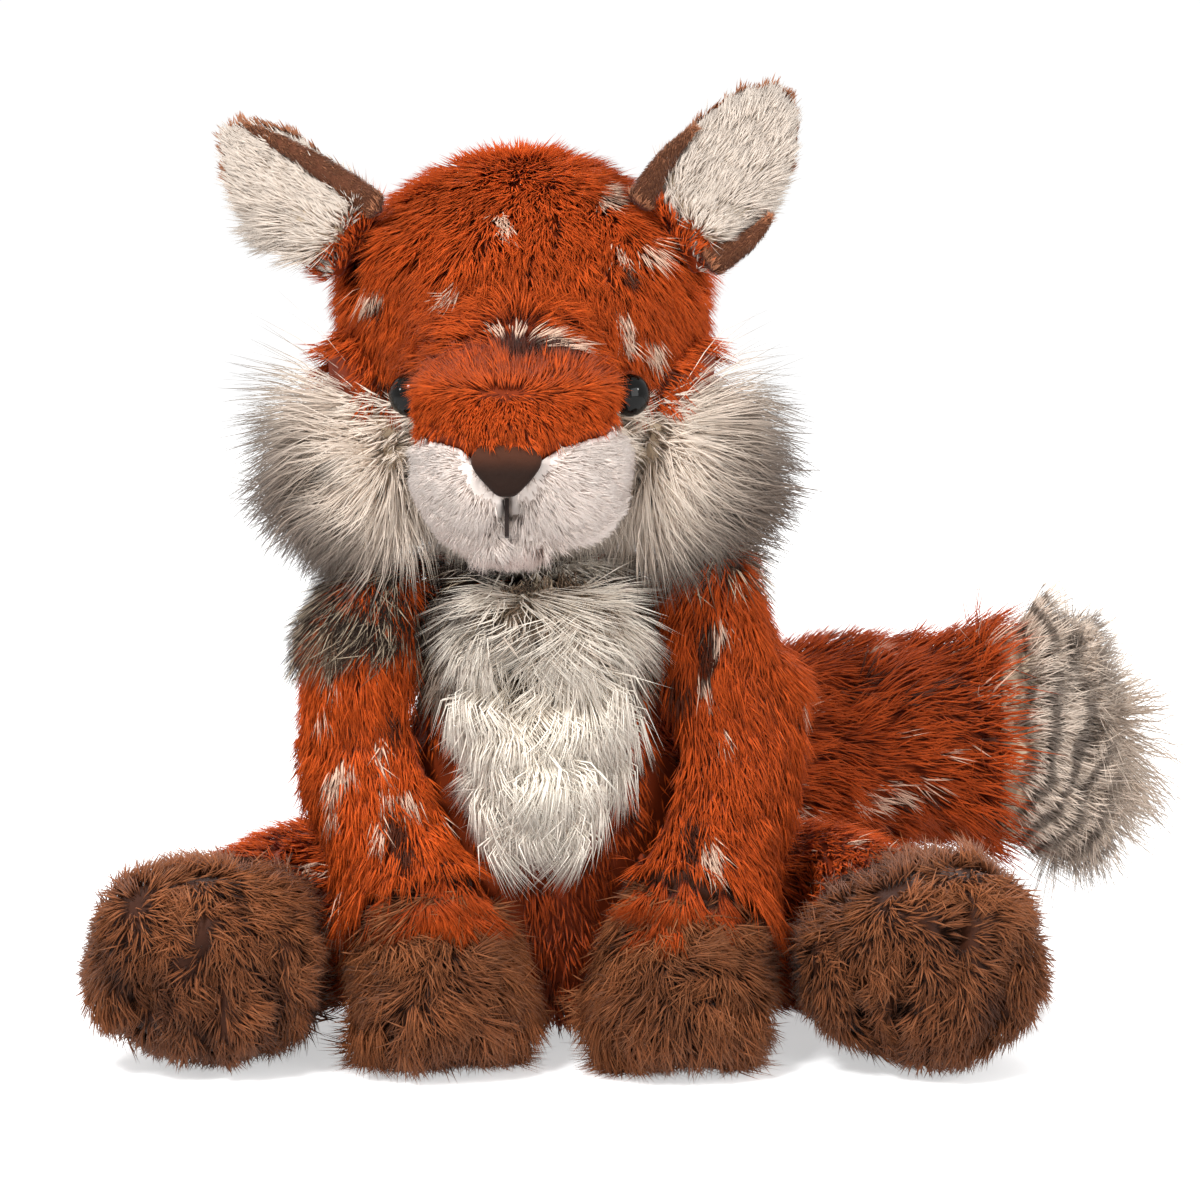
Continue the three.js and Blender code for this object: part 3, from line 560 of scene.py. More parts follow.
def comb(
    roots, normals, flow, length, width, seed, knots=3, stand=(44, 6), swirl=0.3, lean=0.3,
    tuft=3.2, lock=8.0, pull=0.42, curl=0.0, wave=0.1, sag=0.0, mess=0.12, vary=0.3,
):
    """Knots of every fibre, shape (fibres, knots, 3), with what is needed to dress and paint it.
    The first direction rises stand[0] degrees off the cloth along the flow, the last stand[1]. swirl
    turns the flow by smooth noise, lean turns whole locks and, half as much, the tufts in them, wave
    bows single fibres and mess turns them, curl bends a tuft to an S, pull draws the tips towards the
    tuft's centre and sag bends them down. vary is how much the tufts differ in length."""
    rng = np.random.default_rng(seed)
    n = len(roots)
    centre, number = tufts(roots, tuft, seed + 2)
    stray = np.stack([drift(roots, 0.5 * lock, seed + 7 + k) for k in range(3)], -1)
    _, group = tufts(roots + 0.3 * lock * stray, lock, seed + 6)
    second = 0.5 * group + 0.5 * (number * 7.3 % 1)
    along = unit(flow - (flow * normals).sum(-1, keepdims=True) * normals)
    side = np.cross(normals, along)
    turn = swirl * (drift(roots, 17, seed) + 0.6 * drift(roots, 6, seed + 1))
    turn = turn + lean * (2 * group - 1 + 0.5 * (2 * number - 1)) + rng.normal(0, mess, n)
    along = along * np.cos(turn)[:, None] + side * np.sin(turn)[:, None]
    side = np.cross(normals, along)
    to_centre = centre - roots
    to_centre = to_centre - (to_centre * normals).sum(-1, keepdims=True) * normals
    length = np.broadcast_to(length, n) * (0.91 + vary * (second - 0.5) + 0.2 * rng.random(n))
    bend = rng.normal(0, wave, n)
    tilt = rng.normal(0, 6, n) + 18 * (second - 0.5)
    share = np.linspace(0, 1, knots) ** 1.2
    place = [roots - ROOT_DEPTH * normals]
    for k in range(1, knots):
        middle = (share[k] + share[k - 1]) / 2
        angle = np.radians(stand[0] + (stand[1] - stand[0]) * middle + tilt)
        way = along * np.cos(angle)[:, None] + normals * np.sin(angle)[:, None]
        way = way + side * (bend * middle * 2)[:, None]
        way[:, 2] -= sag * middle
        place.append(place[-1] + unit(way) * (length * (share[k] - share[k - 1]))[:, None])
    place = np.stack(place, 1)
    place = place + pull * (share**1.3)[None, :, None] * to_centre[:, None, :]
    phase = 2 * np.pi * (0.9 * share[None, :] + number[:, None])
    bow = curl * 0.16 * length[:, None] * (np.sin(phase) - np.sin(phase[:, :1]))
    place = place + side[:, None, :] * bow[:, :, None]
    place[:, :, 2] = np.maximum(place[:, :, 2], LOWEST_KNOT)
    return {
        "place": place, "side": side, "root": roots, "width": width, "fibre": rng.random(n),
        "tuft": second, "share": share,
    }


hair = comb(p, n, towards(1, 0, 0, p), 10, 0.6, 0)
print("their tips stand", (hair["place"][:, -1] - p)[:, 2].round(1), "mm off the scrap")

# %% [markdown]
# Each chain of knots becomes a closed spindle. It is widest near the root and a point at both ends, so
# a lock of them looks like brushed fibre and not like wire.

# %% Spindles
def spindles(hair, flat=0.42):
    """Points and triangles of closed three-sided fibres. A ring's broad side lies along the cloth:
    across it measures the width times 1 - 0.35(share - 1/3), and flat of that away from the cloth."""
    place, share = hair["place"], hair["share"]
    n, knots, _ = place.shape
    way = unit(np.gradient(place, axis=1))[:, 1:-1]
    side = np.broadcast_to(hair["side"][:, None, :], way.shape)
    side = unit(side - (side * way).sum(-1, keepdims=True) * way)
    up = np.cross(way, side) * flat
    taper = 1 - 0.35 * (share[1:-1] - 1 / 3)
    half = hair["width"] / 2 * taper * (0.7 + 0.6 * hair["fibre"])[:, None]
    rings = []
    for corner in range(3):
        a = np.pi / 2 + corner * 2 * np.pi / 3
        rings.append(place[:, 1:-1] + (side * np.cos(a) + up * np.sin(a)) * half[:, :, None])
    body = np.stack(rings, 2).reshape(n, -1, 3)
    points = np.concatenate([place[:, :1], body, place[:, -1:]], 1)
    last = 3 * (knots - 2) + 1
    one = [(0, 1 + (c + 1) % 3, 1 + c) for c in range(3)]
    for k in range(knots - 3):
        for c in range(3):
            a, b = 1 + 3 * k + c, 1 + 3 * k + (c + 1) % 3
            one += [(a, b, b + 3), (a, b + 3, a + 3)]
    one += [(last - 3 + c, last - 3 + (c + 1) % 3, last) for c in range(3)]
    faces = np.array(one)[None] + (np.arange(n) * (last + 1))[:, None, None]
    return points.reshape(-1, 3), faces.reshape(-1, 3)


print("four fibres have", len(spindles(hair)[1]), "triangles")

# %% [markdown]
# Colours belong to the knots too. A root is darker than a tip, since less light reaches it, and tufts
# differ a little in tone as well as in length.

# %% Colours along a fibre
def spread_paint(colours):
    """Colours of knots, shape (fibres, knots, 3), with those between the ends copied to the three
    corners of their ring."""
    body = np.repeat(colours[:, 1:-1], 3, axis=1)
    return np.concatenate([colours[:, :1], body, colours[:, -1:]], 1).reshape(-1, 3)


def fade(hair, deep, full, depth=1.0, spread=0.3):
    """Pile colour: deep at the root and full from half way up, each fibre and tuft lighter or darker."""
    rise = smooth_step(hair["share"], -0.1, 0.8 * depth)[None, :, None]
    tone = 1 + spread * (0.8 * (hair["fibre"] - 0.5) + 1.1 * (hair["tuft"] - 0.5))
    return (deep * (1 - rise) + full * rise) * tone[:, None, None]


def blend_in(base, colour, amount):
    """base moved towards colour by amount, which has one number for each fibre or each knot."""
    amount = amount[..., None] if amount.ndim == 2 else amount[:, None, None]
    return base * (1 - amount) + colour * amount


print("root and tip of a rust fibre", fade(hair, RUST_DEEP, RUST)[0, [0, -1]].round(2).tolist())

# %% [markdown]
# With that, a coat can be laid on a piece, and the cloth under it too. The cloth stands for the
# measured solid, and a coat rides along with it.

# %% Laying a coat
coats = []


def lay(name, hair, paint, slot, body):
    """Makes a coat of spindles and notes its number of triangles."""
    points, faces = spindles(hair)
    coats.append(len(faces))
    print(name, len(hair["root"]), "fibres", len(faces), "triangles")
    make(name, points, faces, slot, body, spread_paint(paint))


def lay_covered(piece, count, seed, flow):
    """A short flat coat of rust pile on the cloth that a limb lies against, for when it swings away."""
    node = piece["node"]
    p, n = sow(dict(piece, open=piece["covered"]), count, seed)
    hair = comb(p, n, np.array(flow) + 0 * p, 7, 0.95, seed, stand=(16, 4), swirl=0.3, tuft=4, pull=0.2)
    paint = fade(hair, RUST_DEEP, RUST, 0.9, 0.4)
    lay(node + "_covered_pile", hair, paint, "rust_pile", body_of[node])


def lay_backing(piece, slot, colour):
    """Makes the backing cloth of a node, which stands for the measured solid. colour is one colour, or
    one for each point."""
    node = piece["node"]
    painted = colour * (1 + 0.25 * drift(piece["points"], 7, 3))[:, None]
    make(
        node + "_cloth", piece["points"], piece["faces"], slot, body_of[node], painted,
        stands_for=(node,),
    )


# %% [markdown]
# The rust cloth is mottled: now and then a small lock is beige or sooty instead of orange. The big
# ones lie where the photographed toy has them, so their places are written in the picture's pixels
# and looked up from the roots of the fibres. The rest fall by noise.

# %% Flecks
def picture(p):
    """Where a place in millimetres lies in the square catalogue picture, in pixels: across and down."""
    from_aim = p - np.array(aim) / MM
    deep = AWAY + from_aim[:, 1] * np.cos(tilt) - from_aim[:, 2] * np.sin(tilt)
    high = from_aim[:, 1] * np.sin(tilt) + from_aim[:, 2] * np.cos(tilt)
    scale = eye_data.lens / SENSOR * PICTURE / deep
    return np.stack([PICTURE / 2 + from_aim[:, 0] * scale, PICTURE / 2 - high * scale], -1)


def off_mark(p, mark):
    """How far each point lies from a mark in the picture, squared, 1 being on its rim. A mark is (across,
    down, half width, half height, lean), lean being how far its foot lies to the right of its head."""
    across, down_to, wide, high, lean = mark
    at = picture(p)
    dy = at[:, 1] - down_to
    dx = at[:, 0] - across - lean * dy / (2 * high)
    return (dx / wide) ** 2 + (dy / high) ** 2


def spots(p, marks):
    """True on the marks where they lie on the front. Noise makes their rims ragged."""
    rough = 1 + 0.6 * drift(p, 2.5, 21)
    return np.any([off_mark(p, mark) * rough < 1 for mark in marks], axis=0) * (p[:, 1] < 5)


def dents(p, marks):
    """e to the minus that square: 1 in the middle of a mark, fading smoothly round it, on the front."""
    return np.max([np.exp(-off_mark(p, mark)) for mark in marks], axis=0) * (p[:, 1] < -40)


def in_dark_patch(hair, base):
    """base with the near-black patches of the collar, where most fibres are dark and a few stay pale."""
    marks = [(405, 584, 92, 40, 30), (486, 584, 24, 16, 0), (410, 616, 44, 18, 0), (437, 652, 10, 10, 0)]
    rough = 1 + 0.7 * drift(hair["root"], 5, 22)
    inside = np.max([smooth_step(-off_mark(hair["root"], m) * rough, -1.3, -0.7) for m in marks], axis=0)
    return blend_in(base, TAUPE_TIP, inside * (hair["fibre"] < 0.82) * 0.93)


def mottle(points, stretch, seed, cut):
    """True where noise, drawn out along the axes by stretch, rises above cut."""
    return drift(points / np.array(stretch), 5.0, seed) > cut


def rust(hair, beige, soot, shade=0.0, depth=1.0):
    """Rust pile with beige and sooty locks where the two masks say so, darker where shade is high."""
    base = fade(hair, RUST_DEEP, RUST, depth, 0.4)
    base = blend_in(base, RUST_DEEP, np.broadcast_to(shade, len(base)))
    some = (hair["fibre"] * 0.6 + hair["tuft"] * 0.4 > 0.22)[:, None]
    tip = smooth_step(hair["share"], 0.1, 0.5)[None, :]
    base = blend_in(base, BEIGE, beige[:, None] * some * tip * 0.8)
    return blend_in(base, SOOT, soot[:, None] * some * (0.6 + 0.3 * tip))


print("the first root of the scrap is at pixel", picture(p)[0].round())

# %% [markdown]
# The trunk is a pear of rust pile that is brushed down. Only its sides, back and belly show, and the
# belly, between the arms, lies in shade, so its rust is painted darker there: painted shade. Where a limb
# lies against it, a short flat coat grows that shows only when the limb swings away. Arms and thighs have
# such a coat as well.

# %% Trunk
COLLAR_FOOT = 116
trunk = backing("torso", 5.5)
under_collar = trunk["points"][:, 2:] > COLLAR_FOOT
lay_backing(trunk, "rust_pile", np.where(under_collar, TAUPE_TIP, RUST_DEEP))
p, n = sow(trunk, 8500, 1, lambda c, f: (c[:, 2] <= COLLAR_FOOT) | (c[:, 1] >= -10))
hair = comb(p, n, towards(0.004 * p[:, 0], 0, -1, p), 11.5, 0.8, 1)
# painted shade: the belly between the arms is painted darker, towards the deep rust
belly_shade = 0.5 * (p[:, 1] < -20) * smooth_step(-p[:, 2], -85, -55)
beige = mottle(p, (1, 1, 2.5), 31, 0.66) * (p[:, 1] > 0)
soot = mottle(p, (1, 1, 2.5), 32, 0.68)
lay("torso_pile", hair, rust(hair, beige, soot, belly_shade), "rust_pile", "torso")
lay_covered(trunk, 3200, 7, (0, 0, -1))

# %% [markdown]
# The bib is ivory pile about 30 mm long. It starts right under the chin and falls in pointed locks
# that bend to an S, as brushed long pile does.

# %% Bib
BIB_X, COLLAR_X = -4.5, 3


def narrowed(middle):
    """A shape that draws cloth in about that middle, to six tenths of its width."""
    return lambda points, normals: towards(-0.4 * (points[:, 0] - middle), 0, 0, points)


bib = backing("chest_bib", 4.0, voxel=2.5, shape=narrowed(BIB_X))
lay_backing(bib, "ivory_long_pile", CREAM_DEEP)


def ivory_locks(piece, name, count, seed, weight):
    """Ivory locks on a piece of the front: brushed down and apart, and together at the bib's point."""
    p, n = sow(piece, count, seed, weight)
    low = smooth_step(-p[:, 2], -98, -78)
    flow = towards((0.012 - 0.024 * low) * (p[:, 0] - BIB_X), 0, -1, p)
    length = 28 - 10 * low + 9 * low * np.exp(-(((p[:, 0] - BIB_X) / 8) ** 2))
    hair = comb(
        p, n, flow, length, 0.62, seed, knots=4, stand=(30, -4), swirl=0.3, lean=0.3, tuft=5,
        pull=0.7, curl=1.0, wave=0.12,
    )
    high = smooth_step(p[:, 2], 120, 136) * (0.25 + 0.75 * (hair["fibre"] > 0.85))
    base = blend_in(fade(hair, CREAM_DEEP * 1.1, CREAM, 0.6, 0.1), TAUPE, 0.6 * high)
    lay(name, hair, in_dark_patch(hair, base), "ivory_long_pile", "torso")


ivory_locks(bib, "bib_locks", 7200, 2, lambda c, f: (c[:, 1] < -30) * (c[:, 2] > 79))

# %% [markdown]
# Round the neck lies a collar of long grey-brown pile with near-black tips, sewn in under the chin. Its
# middle is the ivory of the bib, and a crest of pale hair fills the seam under the chin. It falls over
# both shoulders, and farther over the fox's right one.

# %% Collar
collar = backing("throat_ruff", 3.0, voxel=2.2, shape=narrowed(COLLAR_X))
lay_backing(collar, "taupe_long_pile", CREAM_DEEP)
stub = backing("neck", 4.0)
lay_backing(stub, "taupe_long_pile", TAUPE)


def from_throat(p, drop):
    """Down and away from the neck's middle: the level part is the place less the middle, as a unit."""
    level = unit((p - np.array([HEAD_X, -4, 0])) * np.array([1, 1, 0]))
    return level + np.array([0, 0, -drop])


def collar_paint(hair, dark=0.6):
    """Grey-brown with a dark tip, and some pale guard hairs; dark is how far the patches go to black."""
    base = fade(hair, TAUPE_TIP, GRIZZLE, 0.5, 0.5)
    tip = smooth_step(hair["share"], 0.55, 1.0)
    base = blend_in(base, TAUPE_TIP, np.broadcast_to(tip[None, :] * 0.7, base.shape[:2]))
    pale = hair["fibre"] > 0.8
    patch = smooth_step(drift(hair["root"], 13, 41), -0.3, 0.4)
    base = blend_in(base, TAUPE_TIP, patch * dark * (1 - pale))
    pale = pale[:, None] * smooth_step(hair["share"], 0.05, 0.35)[None, :]
    return blend_in(in_dark_patch(hair, base), CREAM_DEEP, pale * 0.8)


# %% [markdown]
# In the middle, pale locks run up to the chin, and the crest stands between them and the head. Behind
# them the trunk has pale pile too, so that nothing dark shows through.

# %% Throat
COLLAR_EDGE = 15


def beside_bib(c, f):
    """True on the sides and the back of the collar, false where the bib's ivory runs up to the chin."""
    beside = (BIB_X - c[:, 0] > COLLAR_EDGE) | (c[:, 0] - BIB_X > COLLAR_EDGE + 8)
    return beside | (c[:, 1] > -15)


ivory_locks(collar, "throat_locks", 2900, 3, lambda c, f: c[:, 1] < -28)
p, n = sow(all_over(collar), 1000, 8, lambda c, f: c[:, 2] > 129)
flow = towards(0.02 * (p[:, 0] - BIB_X), -0.5, 0.5, p)
hair = comb(p, n, flow, 17, 0.55, 8, knots=4, stand=(60, 10), swirl=0.4, tuft=5, pull=0.5, sag=1.6)
paint = blend_in(fade(hair, TAUPE, CREAM_DEEP, 0.6, 0.3), GRIZZLE, (hair["tuft"] > 0.5) * 0.8)
lay("throat_crest", hair, in_dark_patch(hair, paint), "cream_long_pile", "torso")
by_bib = lambda c, f: (c[:, 2] > 112) * (c[:, 1] < -10) * (np.abs(c[:, 0] - BIB_X) < 26)
p, n = sow(trunk, 1600, 6, by_bib)
flow = towards(0.006 * (p[:, 0] - BIB_X), -0.2, -1, p)
hair = comb(p, n, flow, 20, 0.5, 6, knots=4, stand=(50, 4), swirl=0.3, tuft=5, sag=0.3)
outer = smooth_step(np.abs(p[:, 0] - BIB_X), 12, 20) * 0.8
paint = blend_in(fade(hair, CREAM_DEEP, CREAM * 0.9, 0.6, 0.2), GRIZZLE, outer)
lay("throat_back_pile", hair, in_dark_patch(hair, paint), "cream_long_pile", "torso")

# %% [markdown]
# At the sides the grey-brown pile falls down and outwards, longest on the fox's right. The neck has a
# coat of its own, for when the head turns.

# %% Shoulders and neck
over_shoulder = lambda c, f: smooth_step(c[:, 2], 108, 122) * (c[:, 1] < 44) * beside_bib(c, f)
p, n = sow(trunk, 6000, 4, over_shoulder)
over = smooth_step(-p[:, 0], 15, 40)
hair = comb(
    p, n, from_throat(p, 0.8), 16 + 10 * over, 0.5, 4, stand=(40, 0), swirl=0.4, wave=0.2,
    tuft=5, pull=0.55, sag=0.3,
)
lay("shoulder_pile", hair, collar_paint(hair, 0.8), "taupe_long_pile", "torso")
p, n = sow(stub, 1500, 5)
hair = comb(p, n, from_throat(p, 1.6), 16, 0.7, 5, stand=(40, 10))
lay("neck_pile", hair, collar_paint(hair), "taupe_long_pile", "neck")

# %% [markdown]
# The arms hang in front of the trunk. Their rust pile is brushed towards the paws, with runs of sooty
# and beige locks. The collar's hair falls over their shoulders too, far down on the fox's right.

# %% Arms
# the beige and then the sooty marks of each arm
arm_flecks = {
    "left": (
        [(717, 623, 6, 20, 0), (707, 847, 8, 16, 0), (678, 880, 8, 12, 0), (627, 893, 8, 14, 0),
         (737, 920, 10, 12, 0)],
        [(707, 637, 8, 26, 0), (680, 677, 7, 18, 0), (690, 830, 8, 26, 0), (673, 895, 9, 12, 0)],
    ),
    "right": (
        [(377, 743, 6, 16, -4), (397, 783, 14, 9, 12), (380, 815, 6, 12, 2)],
        [(390, 700, 8, 18, -4), (398, 825, 8, 30, 20)],
    ),
}
# how far down the picture the collar's hair reaches, and its number of fibres
collar_fall = {"left": (584, 400), "right": (650, 4200)}
# how far the shoulder's corner is lowered, its inner half lifted, and the elbow filled out, in mm
shoulder_facts = {"left": (10, 14, 3.5), "right": (0, 9, 6)}
for side, way in SIDES:

    def sloped(points, normals, way=way, facts=shoulder_facts[side]):
        """Fills the upper arm out to its measured girth and more towards the bib, lifts the shoulder's
        inner half, lowers its outer corner, and fills the outside of the elbow out."""
        lowered, lifted, full = facts
        away = way * (points[:, 0] - 1)
        upper = smooth_step(points[:, 2], 92, 112)
        corner = smooth_step(away, 50, 72) * smooth_step(points[:, 2], 104, 136)
        elbow = smooth_step(away, 40, 60) * np.exp(-(((points[:, 2] - 86) / 20) ** 2))
        inner = upper * smooth_step(-way * normals[:, 0], 0.0, 0.6)
        pushed = 3.0 * (upper * smooth_step(way * normals[:, 0] + 0.5, 0, 0.5))[:, None] * normals
        pushed[:, 0] += way * (full * elbow - 0.7 * lowered * corner - 6 * inner)
        top = smooth_step(points[:, 2], 106, 134)
        pushed[:, 2] += lifted * top * (1 - smooth_step(away, 46, 68)) - lowered * corner
        return pushed

    arm = backing("arm_" + side, 5.5, shape=sloped)
    lay_backing(arm, "rust_pile", RUST_DEEP)
    lay_covered(arm, 1300, 15 + way, (0, -0.4, -1))
    p, n = sow(arm, 12600, 10 + way)
    flow = towards(0.006 * (p[:, 0] - way * 46), -0.42, -1, p)
    length = 13 + 7 * smooth_step(-p[:, 2], -66, -50)
    hair = comb(
        p, n, flow, length, 0.62, 10 + way, stand=(28, 2), swirl=0.35, lean=0.16, tuft=3.2, lock=10,
        pull=0.35,
    )
    beige, soot = arm_flecks[side]
    beige = np.maximum(spots(p, beige), mottle(p, (1, 1, 2.6), 33, 0.8))
    soot = np.maximum(spots(p, soot), mottle(p, (1, 1, 2.6), 34, 0.82))
    shade = 0.3 if side == "left" else 0.05
    lay("arm_pile_" + side, hair, rust(hair, beige, soot, shade, 0.8), "rust_pile", "arm_" + side)
    lowest, count = collar_fall[side]

    def fallen(c, f, low=lowest):
        """1 above that pixel of the picture, fading out in 36 pixels, and thinner at the back."""
        return smooth_step(-picture(c)[:, 1], -low, 36 - low) * (1 - 0.7 * (c[:, 1] > 0))

    p, n = sow(arm, count, 14 + way, fallen)
    hair = comb(
        p, n, from_throat(p, 1.6), 19, 0.5, 14 + way, stand=(34, 4), swirl=0.35, wave=0.2, tuft=5,
        pull=0.5, sag=0.2,
    )
    lay("arm_collar_" + side, hair, collar_paint(hair, 0.95), "taupe_long_pile", "arm_" + side)

# %% [markdown]
# The paws are shaggier: brown pile of 15 mm in thick tufts. It is brushed down and outwards, so the
# paw is a bell, narrow under the rust and wide on the ground, with a small whorl in front. A fringe of
# the arm's rust pile hangs over its upper edge.

# %% Forepaws
def brown(hair, dark):
    """Brown pile, painted darker at the root as shade, with a painted highlight on one tip in five; dark
    says where it lies in shade.
    """
    base = fade(hair, BROWN_DEEP, BROWN, 1.25, 0.7)
    tip_highlight = ((hair["fibre"] > 0.8)[:, None] * smooth_step(hair["share"], 0.5, 0.9)[None, :]) * 0.4
    return blend_in(blend_in(base, HIGHLIGHT_TIP, tip_highlight), BROWN_DEEP, dark)


paw_whorl = {"left": (667, 973), "right": (450, 973)}
for side, way in SIDES:
    middle = way * 35.5 + 1.5

    def bell(points, normals, middle=middle):
        """Draws the upper half in by up to a fifth and its front back by 11 mm, to meet the wrist."""
        high = smooth_step(points[:, 2], 24, 60)
        inwards = -0.22 * high * (points[:, 0] - middle)
        return towards(inwards, 11 * high * smooth_step(-points[:, 1], 60, 84), 0, points)

    paw = backing("forepaw_" + side, 7.0, shape=bell, lumps=1.8, lowest=-1)
    lay_backing(paw, "brown_shaggy_pile", BROWN_DEEP)
    p, n = sow(paw, 10000, 20 + way, lambda c, f: c[:, 2] < 54)
    from_whorl = (picture(p) - np.array(paw_whorl[side])) / 3.4
    away = np.linalg.norm(from_whorl, axis=1)
    near = np.exp(-((away / 11) ** 2)) * (n[:, 1] < 0)
    whorl = towards(0.16 * from_whorl[:, 0], 0, -0.16 * from_whorl[:, 1] + 0.7, p)
    flow = towards(0.03 * (p[:, 0] - middle), -0.12, -1, p) + 0.6 * near[:, None] * whorl
    length = 12.5 + 4 * smooth_step(-p[:, 2], -26, -8)
    hair = comb(
        p, n, flow, length, 0.74, 20 + way, stand=(42, -4), swirl=0.9, lean=0.7, tuft=4.2, lock=8,
        pull=0.68, mess=0.2, wave=0.2, vary=0.6,
    )
    lay("forepaw_pile_" + side, hair, brown(hair, 0.5 * near**3), "brown_shaggy_pile", "arm_" + side)
    p, n = sow(paw, 3400, 24 + way, lambda c, f: smooth_step(c[:, 2] + 6 * drift(c, 7, 25), 45, 50))
    flow = towards(0.02 * (p[:, 0] - middle), -0.4, -1, p)
    hair = comb(p, n, flow, 14, 0.7, 24 + way, stand=(36, 0), tuft=3.6)
    shade = 0.42 + 0.25 * drift(p, 6, 27)
    lay("wrist_fringe_" + side, hair, rust(hair, 0 * shade, 0 * shade, shade), "rust_pile", "arm_" + side)

# %% [markdown]
# The thighs come out behind the arms and bend forward. Their pile is brushed towards the feet, so its
# direction turns along the bend.

# %% Thighs
for side, way in SIDES:
    leg = backing("leg_" + side, 5.5)
    lay_backing(leg, "rust_pile", RUST_DEEP)
    lay_covered(leg, 1300, 35 + way, (0, -0.5, -1))
    p, n = sow(leg, 5800, 30 + way)
    bent = smooth_step(-p[:, 1], -10, 40)
    flow = towards(way * (0.9 - 0.5 * bent), -0.9 * smooth_step(-p[:, 1], -20, 30), -0.35, p)
    hair = comb(p, n, flow, 11.5, 0.8, 30 + way, swirl=0.4, tuft=5.5)
    paint = rust(hair, mottle(p, (2, 1, 1), 35, 0.7), mottle(p, (2, 1, 1), 36, 0.74), 0.15)
    lay("leg_pile_" + side, hair, paint, "rust_pile", "leg_" + side)

# %% [markdown]
# The feet show their soles. Stitches draw the toes in, so the pile parts in short dark grooves. The
# tufts lie every way, because nothing brushes a sole, so the flow turns by noise from clump to clump.

# %% Feet
toe_grooves = {
    "left": [
        (905, 990, 11, 46, -8), (947, 940, 10, 34, -6), (985, 995, 11, 36, -12), (862, 1000, 10, 38, 10),
        (890, 880, 16, 9, 0),
    ],
    "right": [
        (122, 962, 10, 40, 8), (160, 1000, 11, 38, -8), (207, 1005, 10, 40, -4), (262, 1000, 12, 50, 4),
        (227, 901, 13, 11, 0),
    ],
}
for side, way in SIDES:
    marks = toe_grooves[side]

    def draw_in(points, normals, marks=marks, way=way):
        """Draws the cloth back by 8 mm in the middle of each groove, and fills the foot out sideways
        and, at its outer corner, upwards."""
        away = way * points[:, 0]
        out = (4 if way > 0 else 11) * smooth_step(away, 98, 128) - 3 * smooth_step(-away, -95, -78)
        up = 5 * smooth_step(away, 95, 118) * smooth_step(points[:, 2], 26, 52)
        return towards(way * out, 8 * dents(points, marks), up, points)

    foot = backing("foot_" + side, 6.5, shape=draw_in, lumps=2.4, voxel=2.6, lowest=-1)
    # painted shade: the backing is painted darker in the grooves between the toes
    lay_backing(foot, "brown_shaggy_pile", BROWN_DEEP * (1 - 0.6 * dents(foot["points"], marks))[:, None])
    from_middle = foot["points"] - np.array([way * 105.0, -58, 30])
    foot["normals"] = unit(foot["normals"] + 1.5 * unit(from_middle))
    p, n = sow(foot, 11800, 40 + way, lambda c, f, marks=marks: 1 - 0.5 * dents(c, marks))
    out = unit(towards(p[:, 0] - way * 105, 0.6 * (p[:, 1] + 90), p[:, 2] - 26, p))
    stray = towards(drift(p, 13, 43), drift(p, 13, 44), drift(p, 13, 45), p)
    sole = smooth_step(-p[:, 1], 60, 80)[:, None]
    flow = (1 - 0.9 * sole) * out + 0.8 * stray + np.array([0, 0.1, -0.3]) - sole * np.array([0, 0, 0.5])
    hair = comb(
        p, n, flow, 12 - 3 * sole[:, 0], 0.72, 40 + way, stand=(44, 4), swirl=0.7, lean=0.6, tuft=4,
        lock=8, pull=0.6, mess=0.25, wave=0.2, vary=0.6,
    )
    # painted light and shade: darker in the grooves, darker all over the fox's left foot and less so the
    # right, lighter along the upper edge
    rim = smooth_step(p[:, 2], 44, 60)[:, None, None]
    paint = brown(hair, 0.85 * dents(p, marks)) * ((0.8 if side == "left" else 0.9) + 0.3 * rim)
    lay("foot_pile_" + side, hair, paint, "brown_shaggy_pile", "leg_" + side)

# %% [markdown]
# The tail's rust pile is swept towards its end, with slanted beige and sooty streaks. It grows longer
# near the seam, so that its edge falls over the pale end in points.

# %% Tail
def high_root(points, normals):
    """Raises the first half of the tail's upper side by up to 5 mm, where filling bunches up."""
    up = 5 * smooth_step(points[:, 2], 84, 106) * (1 - smooth_step(points[:, 0], 84, 120))
    return towards(0, 0, up * smooth_step(points[:, 0], 40, 56), points)


tail = backing("tail", 6.0, shape=high_root)
lay_backing(tail, "rust_pile", RUST_DEEP)
p, n = sow(tail, 13600, 50)
length = 14 + 9 * smooth_step(p[:, 0], 122, 138)
flow = towards(1, 0.15, -0.25 + 0.012 * (p[:, 2] - 70), p)
hair = comb(p, n, flow, length, 0.68, 50, swirl=0.4, tuft=3.6, vary=0.45)
slanted = p @ np.array([[1, 0, 0], [0, 1, 0], [0.8, 0, 1]])
beige, soot = 0.75 * mottle(slanted, (2.4, 1, 0.8), 37, 0.52), mottle(slanted, (2.8, 1, 1), 38, 0.74)
# painted shade: the tail lies in shade behind the toy, so all its rust is painted darker
lay("tail_pile", hair, rust(hair, beige, soot, 0.48, 0.9), "rust_pile", "tail")

# %% [markdown]
# The last part of the tail is cream and grey with dark wavy bands. The bands cross all its fibres at
# once, so its shader draws them, from the place in space and not from the fibre.

# %% Bands of the tail's end
BAND_GAP, BAND_START, BEND_HEIGHT = 0.0095, 0.1485, 0.095  # metres, as in a shader
FADE_IN, FADE_OUT = 0.144, 0.184


